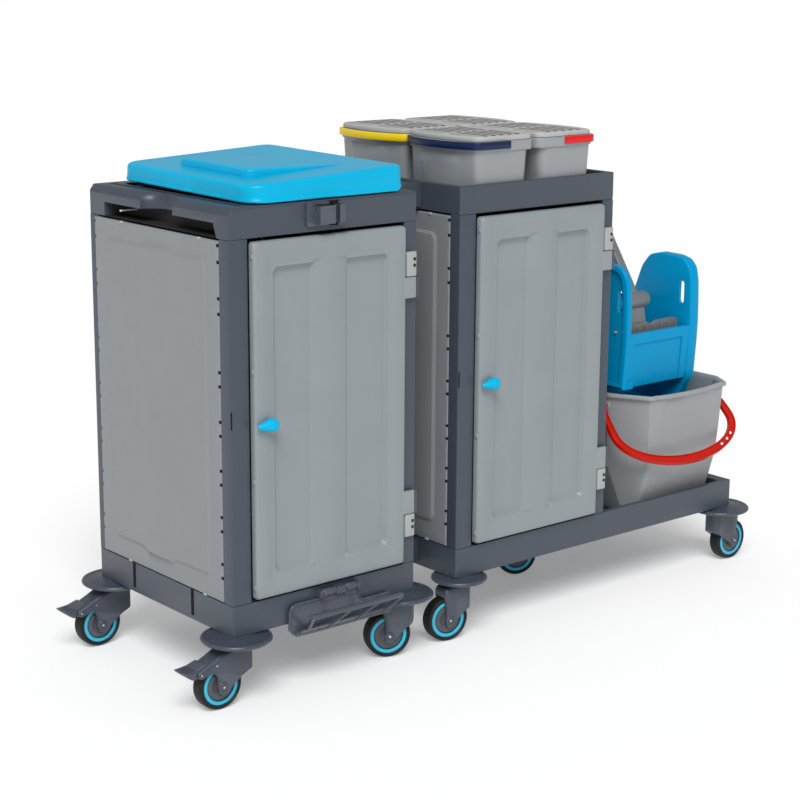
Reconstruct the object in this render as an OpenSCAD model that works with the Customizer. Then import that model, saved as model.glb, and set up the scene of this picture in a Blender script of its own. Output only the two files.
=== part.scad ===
// Two-module cleaning cart: a waste module with a hinged lid and door, coupled
// to a store module with a cabinet, four small buckets and a platform that
// carries a mop bucket with a press wringer. Four swivel castors under the
// waste module and five under the longer store module.
// Millimetres. +X runs from the handle end to the platform end, +Y from the
// doors to the back, +Z up. The floor is Z = 0.

/* [Modules] */
// Width of the waste module, along the train
waste_w = 466; // [456:2:480]
// Width of the store module's cabinet
store_w = 456; // [452:2:470]
// Length of the open platform behind the cabinet
platform_l = 448; // [444:2:470]
// Gap between the two modules
module_gap = 118; // [116:2:130]
// Depth of both modules, doors to back
depth = 500; // [496:2:520]

/* [Heights] */
// Height of the underside of the base above the floor
base_z = 145; // [145:1:150]
// Height of the moulded base
base_h = 64; // [60:1:70]
// Length of the corner posts
post_h = 726; // [720:2:760]
// Height of the top frame and of the tray
top_h = 60; // [58:1:66]

/* [Castors] */
// Wheel diameter
wheel_d = 100; // [96:1:100]
// Wheel width
wheel_w = 30; // [26:1:30]
// Distance from the swivel axis to the wheel axis, plain castors
trail = 28; // [24:1:28]
// The same distance on the two braked castors
braked_trail = 48; // [46:1:48]
// The same distance on the castors at the platform end
end_trail = 36; // [32:1:36]
// Inset of the swivel axes from the base's corners
castor_inset = 22; // [20:1:24]
// Radius of the round wall bumpers
bumper_r = 73; // [66:1:74]
// Reach of a brake pedal from the swivel axis
pedal_reach = 143; // [138:1:144]

/* [Doors and lid] */
// Depth of a door from face to back
door_t = 14; // [12:1:14]
// Height of the knob's axis above the floor
knob_z = 571; // [480:1:640]
// Height of the closed lid above its seat, at the handle side
lid_h = 36; // [34:1:38]
// Rise of the lid's top towards its hinge
lid_rise = 17; // [14:1:18]

/* [Mop bucket] */
// Outside width of the mop bucket's rim, along the train
mop_w = 352; // [346:2:354]
// Outside depth of the mop bucket's rim
mop_d = 354; // [350:2:360]
// Height of the mop bucket's rim above the floor
mop_rim_z = 462; // [455:1:470]
// Lean of the wringer's lever from upright, at rest
lever_lean = 33; // [25:1:36]
// Length of the wringer's lever
lever_l = 330; // [280:5:340]

/* [Hidden] */
$fn = 48;
run = 0.05;
W = waste_w;
D = depth;
X2 = W + module_gap;
Xc = X2 + store_w;
Xe = Xc + platform_l;
zb = base_z;
zt = zb + base_h;
zp = zt + post_h;
zf = zp + top_h;
ci = castor_inset;
wr = wheel_d / 2;
stem_r = 6;
axle_r = 4;
holder_out = 56;
// swivel axes, and the way each castor trails at rest
castor_pos = [[ci, ci], [W - ci, ci], [ci, D - ci], [W - ci, D - ci],
              [X2 + ci, ci], [Xe - ci + 8, ci], [X2 + ci, D - ci], [Xe - ci + 8, D - ci],
              [(X2 + Xe) / 2, D / 2]];
castor_turn = [0, -22, 0, 14, -10, 180, 12, 150, -25];
castor_trail = [braked_trail, trail, braked_trail, trail, trail, end_trail, trail, end_trail, trail];
// the whole object's middle in plan, so that the origin is under its centre
x_lo = ci - pedal_reach;
x_hi = Xe - ci + 8 + end_trail + wr;
y_lo = -holder_out;
y_hi = D - ci + bumper_r;
xc = (x_lo + x_hi) / 2;
yc = (y_lo + y_hi) / 2;

frame_c = "#4f555d";
panel_c = "#979c9e";
bucket_c = "#8f9496";
cyan_c = "#2bbde9";
blue_c = "#0a8fc7";
red_c = "#d8301c";
leaf_c = "#b5b8b8";
tyre_c = "#1c1d1f";
steel_c = "#b9bcc0";

// ---------- shapes that repeat ----------
module at() { translate([-xc, -yc, 0]) children(); }
module bx(a, b) { translate(a) cube([b[0] - a[0], b[1] - a[1], b[2] - a[2]]); }
function arc(cx, cy, r, a0, a1, n) =
    [for (i = [0:n]) let (a = a0 + (a1 - a0) * i / n) [cx + r * cos(a), cy + r * sin(a)]];
function rrect(x0, y0, x1, y1, r, n = 4) = concat(
    arc(x1 - r, y1 - r, r, 0, 90, n), arc(x0 + r, y1 - r, r, 90, 180, n),
    arc(x0 + r, y0 + r, r, 180, 270, n), arc(x1 - r, y0 + r, r, 270, 360, n));
module slab(pts, z0, z1) { translate([0, 0, z0]) linear_extrude(z1 - z0) polygon(pts); }
// outline in Y and Z, run along X
module prism_x(pts, x0, x1) { translate([x0, 0, 0]) rotate([90, 0, 90]) linear_extrude(x1 - x0) polygon(pts); }
// outline in X and Z, run along Y
module prism_y(pts, y0, y1) { translate([0, y1, 0]) rotate([90, 0, 0]) linear_extrude(y1 - y0) polygon(pts); }
module rod_x(x0, x1, y, z, r) { translate([x0, y, z]) rotate([0, 90, 0]) cylinder(h = x1 - x0, r = r); }
module rod_y(y0, y1, x, z, r) { translate([x, y1, z]) rotate([90, 0, 0]) cylinder(h = y1 - y0, r = r); }
module rod_z(z0, z1, x, y, r) { translate([x, y, z0]) cylinder(h = z1 - z0, r = r); }

// ---------- frame ----------
module stem_sockets(list) {
    for (i = list) rod_z(zb - 1, zb + 30, castor_pos[i][0], castor_pos[i][1], stem_r + run);
}

module waste_base() color(frame_c) at() difference() {
    slab(rrect(0, 0, W, D, 5), zb, zt);
    slab(rrect(30, 30, W - 30, D - 30, 10), zb + 20, zt + 1);
    stem_sockets([0, 1, 2, 3]);
    // shallow upright grooves on the handle end
    for (y = [144, 363]) bx([-1, y - 4.5, zb + 9], [3, y + 4.5, zt - 3]);
}

module store_base() color(frame_c) at() difference() {
    slab(rrect(X2, 0, Xe, D, 5), zb, zt);
    slab(rrect(X2 + 30, 30, Xc - 14, D - 30, 10), zb + 20, zt + 1);
    slab(rrect(Xc + 14, 14, Xe - 30, D - 14, 10), zb + 20, zt + 1);
    stem_sockets([4, 5, 6, 7, 8]);
    for (y = [144, 363]) bx([X2 - 1, y - 4.5, zb + 9], [X2 + 3, y + 4.5, zt - 3]);
}

module post_pair(x0, x1) {
    slab(rrect(x0, 0, x1, 33, 4), zt, zp);
    slab(rrect(x0, D - 33, x1, D, 4), zt, zp);
}

module corner_posts() color(frame_c) at() {
    post_pair(0, 46);
    post_pair(W - 33, W);
    post_pair(X2, X2 + 46);
    post_pair(Xc - 33, Xc);
}

module waste_top_frame() color(frame_c) at() difference() {
    slab(rrect(0, 0, W, D, 6), zp, zf);
    // mouth for the bag, with a seat for the bag ring
    slab(rrect(66, 42, W - 47, D - 42, 12), zp - 1, zf - 18);
    slab(rrect(60, 36, W - 41, D - 36, 12), zf - 19, zf + 1);
    // hand recess under the push rail
    prism_x([[38, zp + 1], [50, zp + 30], [443, zp + 30], [443, zp + 1]], -1, 46);
    // hollow in the middle of the rail
    slab([[-1, 187], [37, 204], [37, 275], [30, 292], [14, 302], [-1, 304]], zp + 29, zf + 1);
    // sloping top edge of the rail, and the trough behind it
    prism_y([[-1, zf - 15.5], [-1, zf + 1], [35, zf + 1]], -1, D + 1);
    bx([39, 16, zf - 7], [48, D - 16, zf + 1]);
}

module store_tray() color(frame_c) at() difference() {
    slab(rrect(X2, 0, Xc, D, 5), zp, zf);
    slab(rrect(X2 + 12, 12, Xc - 12, D - 12, 8), zp + 5, zf + 1);
}

module side_panel(x) { bx([x, 33, zt], [x + 4, D - 33, zp]); }

// two side panels and a back panel each
module waste_panels() color(panel_c) at() {
    side_panel(2);
    side_panel(W - 6);
    bx([46, D - 6, zt], [W - 33, D - 2, zp]);
}
module store_panels() color(panel_c) at() {
    side_panel(X2 + 2);
    side_panel(Xc - 6);
    bx([X2 + 46, D - 6, zt], [Xc - 33, D - 2, zp]);
}

// round wall bumpers at the corners, and a plain seat under the middle castor
module castor_bumpers() color(frame_c) at() for (i = [0:8]) difference() {
    rod_z(zb - 12, zb, castor_pos[i][0], castor_pos[i][1], i < 8 ? bumper_r : 36);
    rod_z(zb - 13, zb + 1, castor_pos[i][0], castor_pos[i][1], stem_r + run);
}

module waste_bag_ring() color(frame_c) at() difference() {
    slab(rrect(61, 37, W - 42, D - 37, 11), zf - 18, zf - 5);
    slab(rrect(80, 56, W - 61, D - 56, 8), zf - 19, zf - 4);
}

module store_shelf() color(panel_c) at() bx([X2 + 6, 33, 556], [Xc - 6, D - 34, 572]);

module link_bar(y, z0, z1) {
    difference() {
        bx([W, y - 22, z0], [X2, y + 22, z1]);
        rod_z(z0 - 1, z1 + 1, X2 - 16, y, 7);
    }
}
module coupling_links() color(frame_c) at() for (y = [148, D - 148]) {
    link_bar(y, zf - 54, zf - 4);
    link_bar(y, zb + 8, zt - 5);
}

// ---------- doors ----------
pin_y = -8;
pin_r = 3;
up_lo = zp - 156;
up_hi = zp - 113;
up_top = zp - 61;
dn_hi = zt + 162;
dn_lo = zt + 112;
dn_bot = zt + 62;

module hinge_leaf(px, z0, z1, p0, p1) {
    bx([px - 22, -6, z0], [px + 6, 0, z1]);
    rod_z(z0, z1, px, pin_y, 6);
    rod_z(p0, p1, px, pin_y, pin_r);
}
module hinge_pair(px) {
    hinge_leaf(px, up_hi + 1, up_top, up_lo - 3, up_top);
    hinge_leaf(px, dn_bot, dn_lo - 1, dn_bot, dn_hi + 3);
}
module door_hinge_leaves() color(leaf_c) at() { hinge_pair(W - 6); hinge_pair(Xc - 6); }

module leaf_screws(px) {
    for (z = [up_hi + 14, up_top - 13, dn_bot + 13, dn_lo - 14]) {
        rod_y(-8.4, -6, px - 13, z, 3.4);
        rod_y(-6, 8, px - 13, z, 1.7);
    }
}
module hinge_screws() color(steel_c) at() { leaf_screws(W - 6); leaf_screws(Xc - 6); }

module door_tab(xb, px, z0, z1) { bx([xb - 4, -12, z0], [px, -4, z1]); rod_z(z0, z1, px, pin_y, 6); }

module door_body(xa, xb, px, kx) difference() {
    union() {
        bx([xa, -10, zt + 6], [xb, -10 + door_t, zp - 7]);
        door_tab(xb, px, up_lo, up_hi);
        door_tab(xb, px, dn_lo, dn_hi);
    }
    // hollow back
    bx([xa + 46, -3, zt + 30], [xb - 12, 5, zp - 30]);
    // two sunk fields either side of the middle band
    for (f = [[xa + 61, xa + 150], [xb - 128, xb - 40]])
        bx([f[0], -11, zt + 52], [f[1], -7, zp - 66]);
    for (z = [[up_lo - 1, up_hi + 1], [dn_lo - 1, dn_hi + 1]])
        rod_z(z[0], z[1], px, pin_y, pin_r + run);
    rod_y(-20, 20, kx, knob_z, 5 + run);
}
module waste_door() color(panel_c) at() door_body(50, W - 36, W - 6, 81);
module store_door() color(panel_c) at() door_body(X2 + 50, Xc - 36, Xc - 6, X2 + 81);

module knob(kx) {
    rod_y(-36, -10.4, kx, knob_z, 14);
    prism_y([[kx - 6, knob_z + 13], [kx - 24, knob_z + 6], [kx - 34, knob_z],
             [kx - 24, knob_z - 6], [kx - 6, knob_z - 13]], -33, -15);
    rod_y(-12, -10 + door_t + 5, kx, knob_z, 5);
    bx([kx - 24, -10 + door_t + 0.8, knob_z - 7], [kx + 8, -10 + door_t + 5, knob_z + 7]);
}
module waste_knob() color(cyan_c) at() knob(81);
module store_knob() color(cyan_c) at() knob(X2 + 81);

// ---------- lid ----------
lid_px = W - 26;
lid_pz = zf + 5;
lid_spans = [[120, 160], [D - 160, D - 120]];

module lid_hinge_brackets() color(frame_c) at() for (s = lid_spans) {
    bx([lid_px - 6, s[0] - 8, zf], [lid_px + 6, s[0] - 0.5, zf + 10]);
    bx([lid_px - 6, s[1] + 0.5, zf], [lid_px + 6, s[1] + 8, zf + 10]);
    rod_y(s[0] - 8, s[1] + 8, lid_px, lid_pz, 2.5);
}

// wedge that rises towards the hinge; i in from its edge, t down from its top
module lid_wedge(i, lift, t) intersection() {
    slab(rrect(50 + i, 3 + i, W - 36 - i, D - 20 - i, 44 - i, 8), zf + lift, zf + 80);
    prism_y([[40, zf], [440, zf], [440, zf + 4.5 + lid_h + lid_rise - t], [40, zf + 3.5 + lid_h - t]], -1, D);
}
module waste_lid() color(cyan_c) at() difference() {
    union() {
        lid_wedge(0, 3, 0);
        slab(rrect(118, 99, 365, 375, 24, 6), zf + lid_h, zf + lid_h + lid_rise + 2);
        for (s = lid_spans) {
            bx([W - 42, s[0], zf + 3], [lid_px, s[1], zf + 9]);
            rod_y(s[0], s[1], lid_px, lid_pz, 4.4);
        }
    }
    lid_wedge(5, 2, 5);
    for (s = lid_spans) rod_y(s[0] - 1, s[1] + 1, lid_px, lid_pz, 2.5 + run);
}

// ---------- handle clip ----------
clip_x = 241;
clip_y = -17;
clip_px = 255;
clip_py = -9;
module mop_clip_body() color(frame_c) at() difference() {
    union() {
        bx([183, -6, 946], [240, 0, 992]);
        bx([199, -27, 951], [236, -5, 987]);
        bx([236, -15, 945], [263, 0, 950.5]);
        bx([236, -15, 987.5], [263, 0, 993]);
        rod_z(945, 993, clip_px, clip_py, 2.5);
    }
    rod_z(940, 996, clip_x, clip_y, 10.5);
}
module mop_clip_jaw() color(frame_c) at() difference() {
    union() {
        bx([246, -28, 951], [260, clip_py, 987]);
        rod_z(951, 987, clip_px, clip_py, 5.5);
    }
    rod_z(940, 996, clip_x, clip_y, 10.5);
    rod_z(940, 996, clip_px, clip_py, 2.5 + run);
}

// ---------- tool holder on the waste module's base ----------
th_y = -10;
th_z = zt - 13;
module tool_holder_bracket() color(frame_c) at() {
    for (s = [[204, 211], [246, 270.5], [300, 307]])
        bx([s[0], -16, th_z - 8], [s[1], 0, th_z + 8]);
    rod_x(204, 307, th_y, th_z, 4);
}
module tool_holder() color(frame_c) at() difference() {
    union() {
        for (s = [[211.6, 245.4], [271.1, 299.4]]) {
            rod_x(s[0], s[1], th_y, th_z, 8.4);
            bx([s[0], -12, th_z - 18], [s[1], -4, th_z]);
        }
        prism_y([[144, zt - 23], [392, zt - 23], [392, zt - 91], [152, zt - 91], [130, zt - 78], [130, zt - 37]], -9, -4);
        prism_x([[-4, zt - 91], [-9, zt - 93], [-holder_out, zt - 49], [-holder_out, zt - 41],
                 [-holder_out + 6, zt - 41], [-6, zt - 85]], 152, 392);
    }
    for (s = [[172, 232], [244, 304], [316, 376]])
        bx([s[0], -47, 100], [s[1], -15, 200]);
    for (s = [[211.6, 245.4], [271.1, 299.4]])
        rod_x(s[0] - 0.3, s[1] + 0.3, th_y, th_z, 4 + run);
    // room for the castor and its bumper
    bx([372, -60, 100], [400, 1, 152]);
}

// ---------- castors ----------
fork_in = wheel_w / 2 + 2.5;
fork_out = fork_in + 6;
pedal_px = -99;
pedal_pz = 86;
module cheek_outline(t, braked, y0, y1) prism_y(braked ?
    [[31, zb - 17], [31, 98], [24, 80], [-20, 46], [-t + 10, wr - 16], [-t, wr - 19], [-t - 10, wr - 14], [-t - 15, wr - 2],
     [-64, 78], [-75, 85], [-93, 79], [-103, 77.5], [-108, 86], [-104, 93.5], [-80, 104], [-64, 111], [-44, 121], [-20, zb - 17]] :
    [[31, zb - 17], [31, 98], [20, 76], [-t + 12, wr - 13], [-t, wr - 17],
     [-t - 13, wr - 11], [-t - 17, wr + 6], [-t - 18, 108], [-t - 10, 122], [-20, zb - 17]], y0, y1);

module fork(i, braked) color(frame_c) at() let (t = castor_trail[i])
    translate([castor_pos[i][0], castor_pos[i][1], 0]) rotate([0, 0, castor_turn[i]]) {
        difference() {
            union() {
                cheek_outline(t, braked, -fork_out, -fork_in);
                cheek_outline(t, braked, fork_in, fork_out);
                bx([-42, -fork_out, 104], [27, fork_out, 121]);
                rod_z(104, zb - 12.5, 0, 0, 31);
                rod_z(104, zb + 28, 0, 0, stem_r);
                if (braked) {
                    rod_y(-fork_out, fork_out, pedal_px, pedal_pz, 3);
                    prism_y([[-40, 121], [-64, 111], [-83, 103.5], [-83, 100], [-64, 106], [-40, 110]], -fork_out, fork_out);
                }
            }
            rod_y(-fork_out - 1, fork_out + 1, -t, wr, axle_r);
        }
        rod_y(-fork_out, fork_out, -t, wr, axle_r);
        rod_y(-fork_out - 3, -fork_out, -t, wr, 7);
        rod_y(fork_out, fork_out + 3, -t, wr, 7);
    }
module castor_fork_1() fork(0, true);
module castor_fork_2() fork(1, false);
module castor_fork_3() fork(2, true);
module castor_fork_4() fork(3, false);
module castor_fork_5() fork(4, false);
module castor_fork_6() fork(5, false);
module castor_fork_7() fork(6, false);
module castor_fork_8() fork(7, false);
module castor_fork_9() fork(8, false);

module wheel(i) color(tyre_c) at() let (t = castor_trail[i])
    translate([castor_pos[i][0], castor_pos[i][1], 0]) rotate([0, 0, castor_turn[i]]) {
        difference() {
            rod_y(-wheel_w / 2, wheel_w / 2, -t, wr, wr);
            rod_y(-wheel_w, wheel_w, -t, wr, wr - 12);
        }
        difference() {
            rod_y(-wheel_w / 2 + 1, wheel_w / 2 - 1, -t, wr, wr - 12.1);
            rod_y(-wheel_w, wheel_w, -t, wr, axle_r + run);
        }
    }
module castor_wheel_1() wheel(0);
module castor_wheel_2() wheel(1);
module castor_wheel_3() wheel(2);
module castor_wheel_4() wheel(3);
module castor_wheel_5() wheel(4);
module castor_wheel_6() wheel(5);
module castor_wheel_7() wheel(6);
module castor_wheel_8() wheel(7);
module castor_wheel_9() wheel(8);

// treadle that turns on a pin between the cheeks and flares out behind them
module pedal(i) color(frame_c) at()
    translate([castor_pos[i][0], castor_pos[i][1], 0]) rotate([0, 0, castor_turn[i]]) difference() {
        union() {
            prism_y([[-86, 106], [-86, 101], [-90, 91], [-94, 82], [-104, 79], [-114, 79], [-114, 98], [-102, 101.5]],
                    -fork_in + 0.5, fork_in - 0.5);
            prism_y([[-110, 98.5], [-122, 97], [-134, 97.5], [-pedal_reach, 101], [-pedal_reach, 98], [-133, 90],
                     [-119, 79.5], [-111, 77], [-110, 80]], -fork_out + 1, fork_out - 1);
        }
        rod_y(-fork_in, fork_in, pedal_px, pedal_pz, 3 + run);
    }
module brake_pedal_1() pedal(0);
module brake_pedal_2() pedal(2);

// ---------- small buckets on the tray ----------
sb_u = 170;
sb_v = 228;
sb_r = 22;
sb_bow = 12;
sb_bail_bow = 20;
sb_wu = sb_u - 10;
sb_z0 = zp + 5.3;
sb_rim = zp + 146;
sb_pu = 86;
sb_pz = sb_rim - 8;
// plan outline, i in from the rim's edge; the side at u = 0 is bowed out by w, and u is the length
function sb_pts(i, w = sb_bow, u = sb_u) = let (r = sb_r - i * 0.4, h = sb_v / 2 - i - r / 2, b = w + 0.134 * r) concat(
    arc(u - i - r, sb_v - i - r, r, 0, 90, 4),
    arc(i + r, sb_v - i - r, r, 90, 150, 3),
    [for (k = [1:7]) let (q = 1 - k / 4) [i + 0.134 * r - b * (1 - q * q), sb_v / 2 + q * h]],
    arc(i + r, i + r, r, 210, 270, 3),
    arc(u - i - r, i + r, r, 270, 360, 4));
// place of bucket i: 0 front left, 1 back left, 2 front right, 3 back right
module sb_at(i) at()
    translate([[X2 + 50, X2 + 51, X2 + 399, X2 + 403][i], i % 2 == 0 ? 8 : 247, 0])
        mirror([i < 2 ? 0 : 1, 0, 0]) children();

module small_bucket(i) color(bucket_c) sb_at(i) difference() {
    union() {
        hull() {
            slab(sb_pts(3, u = sb_wu), sb_rim - 22, sb_rim - 21);
            slab(sb_pts(9, u = sb_wu), sb_z0, sb_z0 + 1);
        }
        slab(sb_pts(0), sb_rim - 22, sb_rim);
    }
    hull() {
        slab(sb_pts(8, u = sb_wu), sb_rim - 20, sb_rim - 18);
        slab(sb_pts(12, u = sb_wu), sb_z0 + 4, sb_z0 + 5);
    }
    slab(sb_pts(8), sb_rim - 19, sb_rim + 1);
    rod_y(-2, 6.5, sb_pu, sb_pz, 3 + run);
    rod_y(sb_v - 6.5, sb_v + 2, sb_pu, sb_pz, 3 + run);
}
module small_bucket_1() small_bucket(0);
module small_bucket_2() small_bucket(1);
module small_bucket_3() small_bucket(2);
module small_bucket_4() small_bucket(3);

module bucket_lid(i) color(bucket_c) sb_at(i) {
    slab(sb_pts(2), sb_rim + 0.4, sb_rim + 12);
    difference() {
        slab(sb_pts(9.5), sb_rim - 10, sb_rim + 0.4);
        slab(sb_pts(12.5), sb_rim - 11, sb_rim + 0.4);
    }
}
module bucket_lid_1() bucket_lid(0);
module bucket_lid_2() bucket_lid(1);
module bucket_lid_3() bucket_lid(2);
module bucket_lid_4() bucket_lid(3);

module bucket_bail(i, c) color(c) sb_at(i) {
    translate([0, 0, sb_rim - 16]) linear_extrude(16) difference() {
        polygon(sb_pts(-5, sb_bail_bow));
        polygon(sb_pts(-1, sb_bail_bow));
        translate([sb_pu, -20]) square([200, sb_v + 40]);
    }
    rod_y(-5, -1, sb_pu, sb_pz, 8);
    rod_y(sb_v + 1, sb_v + 5, sb_pu, sb_pz, 8);
    rod_y(-5, 6, sb_pu, sb_pz, 3);
    rod_y(sb_v - 6, sb_v + 5, sb_pu, sb_pz, 3);
}
module bucket_bail_1() bucket_bail(0, "#1d3158");
module bucket_bail_2() bucket_bail(1, "#f5cf12");
module bucket_bail_3() bucket_bail(2, "#e01f1f");
module bucket_bail_4() bucket_bail(3, "#2f9e44");

// ---------- mop bucket ----------
mx = Xc + 270;
my = 165;
mb_z0 = zb + 20.3;
mp_y = 100;
mp_z = mop_rim_z - 32;
// the corner at the front right is cut off less than the others
function oct(hx, hy, cx, cy, q = 0.65) = [
    [mx - hx + cx, my - hy], [mx + hx - cx * q, my - hy], [mx + hx, my - hy + cy * q], [mx + hx, my + hy - cy],
    [mx + hx - cx, my + hy], [mx - hx + cx, my + hy], [mx - hx, my + hy - cy], [mx - hx, my - hy + cy]];
mh = mop_w / 2;
mop_mid = mh - 14;
mv = mop_d / 2;

module mop_bucket() color(bucket_c) at() {
    difference() {
        union() {
            hull() {
                slab(oct(mh - 6, mv - 6, 50, 90), mop_rim_z - 17, mop_rim_z - 16);
                slab(oct(mop_mid, 158, 47, 84), 290, 291);
            }
            hull() {
                slab(oct(mop_mid, 158, 47, 84), 290, 291);
                slab(oct(134, 125, 38, 64), mb_z0, mb_z0 + 1);
            }
            slab(oct(mh, mv, 50, 90), mop_rim_z - 16, mop_rim_z);
            rod_x(mx - mh - 7, mx - mh + 16, mp_y, mp_z, 5);
            rod_x(mx + mh - 16, mx + mh + 7, mp_y, mp_z, 5);
        }
        hull() {
            slab(oct(mh - 10, mv - 10, 49, 88), mop_rim_z - 17, mop_rim_z - 16);
            slab(oct(mop_mid - 4, 154, 46, 82), 290, 291);
        }
        hull() {
            slab(oct(mop_mid - 4, 154, 46, 82), 290, 291);
            slab(oct(130, 121, 37, 62), mb_z0 + 4, mb_z0 + 5);
        }
        slab(oct(mh - 10, mv - 10, 49, 88), mop_rim_z - 16.5, mop_rim_z + 1);
    }
}

// bow of the bail: a in half-width, up and low the depths above and below its widest point
bail_drop = 45;
function bow(a, up, low, s) = let (t0 = -asin(90 / up)) concat(
    [for (k = [0:5]) let (t = t0 * (1 - k / 5)) [s * a * cos(t), 90 + up * sin(t)]],
    [for (k = [1:9]) let (t = k * 10) [s * a * cos(t), 90 + low * sin(t)]]);
function rev(l) = [for (k = [len(l) - 1:-1:0]) l[k]];
module mop_bail() color(red_c) at() translate([mx, mp_y, mp_z]) difference() {
    union() {
        rotate([-(90 + bail_drop), 0, 0]) translate([0, 0, -6]) linear_extrude(12)
            for (s = [-1, 1]) polygon(concat(bow(mh + 33, 200, 114, s), rev(bow(mh + 14, 230, 92, s))));
        for (s = [-1, 1]) translate([s * (mh + 3), 0, 0]) rod_x(-6, 6, 0, 0, 11);
    }
    rod_x(-300, 300, 0, 0, 5 + run);
}

// ---------- wringer ----------
wx0 = mx - 154;
wx1 = mx + 74;
ws_y = 100;
ws_z = 672;
// the part of a cheek inside the bucket, and the part that stands above the rim
cheek_low = [[82, 400], [72, 455], [70, mop_rim_z + 1], [50, mop_rim_z + 12], [49, 490], [245.5, 490], [245.5, mop_rim_z + 12], [240, 400]];
cheek_top = concat([[50, mop_rim_z + 12], [44, 560], [42, 610], [43, 666], [46, 706]],
    arc(86, 716, 40, 180, 100, 4), [[150, 767]],
    arc(160, 727, 40, 80, 30, 3), [[228, 672], [243, 600], [245.5, mop_rim_z + 12]]);
// x0 is the lower part's left face, f0 and f1 the faces of the part above the rim
module cheek(x0, f0, f1) difference() {
    union() {
        prism_x(cheek_low, x0, x0 + 22);
        prism_x(cheek_top, f0, f1);
    }
    // upright grip slot
    prism_x(concat(arc(74, 700, 8, 0, 180, 6), arc(74, 661, 8, 180, 360, 6)), f0 - 1, f1 + 1);
}
module wringer_body() color(blue_c) at() {
    difference() {
        union() {
            cheek(wx0, wx0 - 12, wx0 + 5);
            rod_x(wx0 + 4, wx0 + 22, ws_y, ws_z, 17);
        }
        rod_x(wx0 - 4, wx0 + 23, ws_y, ws_z, 10 + run);
    }
    cheek(wx1 - 22, wx1 - 22, wx1 + 8);
    // front wall, back wall and strainer floor between the cheeks
    prism_x([[44, 604], [56, 604], [66, 476], [54, 476]], wx0 + 4, wx1 - 22);
    bx([wx0 + 4, 226, 402], [wx1 - 22, 238, 650]);
    difference() {
        bx([wx0 + 22, 86, 402], [wx1 - 22, 226, 410]);
        for (k = [0:4]) bx([wx0 + 36 + k * 33, 98, 400], [wx0 + 56 + k * 33, 214, 412]);
    }
    // ears that sit on the bucket's rim
    bx([mx - mh + 2, 120, mop_rim_z + 0.4], [wx0, 200, mop_rim_z + 8]);
    bx([mx - 90, 238, mop_rim_z + 0.4], [mx - 10, my + mv - 2, mop_rim_z + 8]);
}

module wringer_lever() color(bucket_c) at() {
    rod_x(wx0 - 3, wx0 + 30, ws_y, ws_z, 10);
    rod_x(wx0 + 24, wx0 + 106, ws_y, ws_z, 21);
    bx([wx0 + 32, 88, 592], [wx0 + 100, 112, 660]);
    translate([wx0 + 66, ws_y, ws_z]) rotate([-lever_lean, 0, 0]) {
        bx([-13, -15, 0], [13, 15, lever_l - 90]);
        rod_z(lever_l - 95, lever_l, 0, 0, 14);
    }
}
module wringer_press_plate() color(bucket_c) at() {
    bx([wx0 + 29, 78, 474], [wx1 - 29, 88, 622]);
    for (k = [0:6]) bx([wx0 + 33 + k * 26, 73, 510], [wx0 + 39 + k * 26, 78, 614]);
}

waste_base();
store_base();
corner_posts();
waste_top_frame();
store_tray();
waste_panels();
store_panels();
castor_bumpers();
door_hinge_leaves();
hinge_screws();
lid_hinge_brackets();
waste_bag_ring();
store_shelf();
mop_clip_body();
tool_holder_bracket();
coupling_links();
castor_fork_1();
castor_fork_2();
castor_fork_3();
castor_fork_4();
castor_fork_5();
castor_fork_6();
castor_fork_7();
castor_fork_8();
castor_fork_9();
castor_wheel_1();
castor_wheel_2();
castor_wheel_3();
castor_wheel_4();
castor_wheel_5();
castor_wheel_6();
castor_wheel_7();
castor_wheel_8();
castor_wheel_9();
brake_pedal_1();
brake_pedal_2();
waste_door();
waste_knob();
waste_lid();
tool_holder();
mop_clip_jaw();
store_door();
store_knob();
small_bucket_1();
small_bucket_2();
small_bucket_3();
small_bucket_4();
bucket_lid_1();
bucket_lid_2();
bucket_lid_3();
bucket_lid_4();
bucket_bail_1();
bucket_bail_2();
bucket_bail_3();
bucket_bail_4();
mop_bucket();
mop_bail();
wringer_body();
wringer_lever();
wringer_press_plate();
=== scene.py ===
import bpy, bmesh, math
from mathutils import Matrix, Vector


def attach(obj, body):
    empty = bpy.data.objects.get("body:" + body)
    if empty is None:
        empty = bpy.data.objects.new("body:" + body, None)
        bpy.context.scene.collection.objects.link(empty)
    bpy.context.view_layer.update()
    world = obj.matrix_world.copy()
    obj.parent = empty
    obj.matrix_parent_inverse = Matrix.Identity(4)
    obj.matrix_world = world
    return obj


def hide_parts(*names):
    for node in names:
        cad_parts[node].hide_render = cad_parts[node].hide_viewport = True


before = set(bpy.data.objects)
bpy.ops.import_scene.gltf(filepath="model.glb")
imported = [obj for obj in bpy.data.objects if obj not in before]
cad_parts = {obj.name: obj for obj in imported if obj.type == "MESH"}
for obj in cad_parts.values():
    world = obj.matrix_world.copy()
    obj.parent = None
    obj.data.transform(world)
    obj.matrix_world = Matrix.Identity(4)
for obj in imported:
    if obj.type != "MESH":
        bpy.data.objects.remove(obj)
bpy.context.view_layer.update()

# Pieces are drawn in millimetres from the front left foot of the cart; V brings a point into the shared frame.
XC, YC = 719.5, 247.5
W, D, X2, XM, XE = 466.0, 500.0, 584.0, 1040.0, 1488.0
ZB, ZT, ZP, ZF = 145.0, 209.0, 935.0, 995.0


def V(p):
    return Vector(((p[0] - XC) / 1000, (p[1] - YC) / 1000, p[2] / 1000))


# ------------------------------------------------------------------ materials
def lin(h):
    c = [int(h[i:i + 2], 16) / 255 for i in (1, 3, 5)]
    return [x / 12.92 if x <= 0.04045 else ((x + 0.055) / 1.055) ** 2.4 for x in c]


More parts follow.
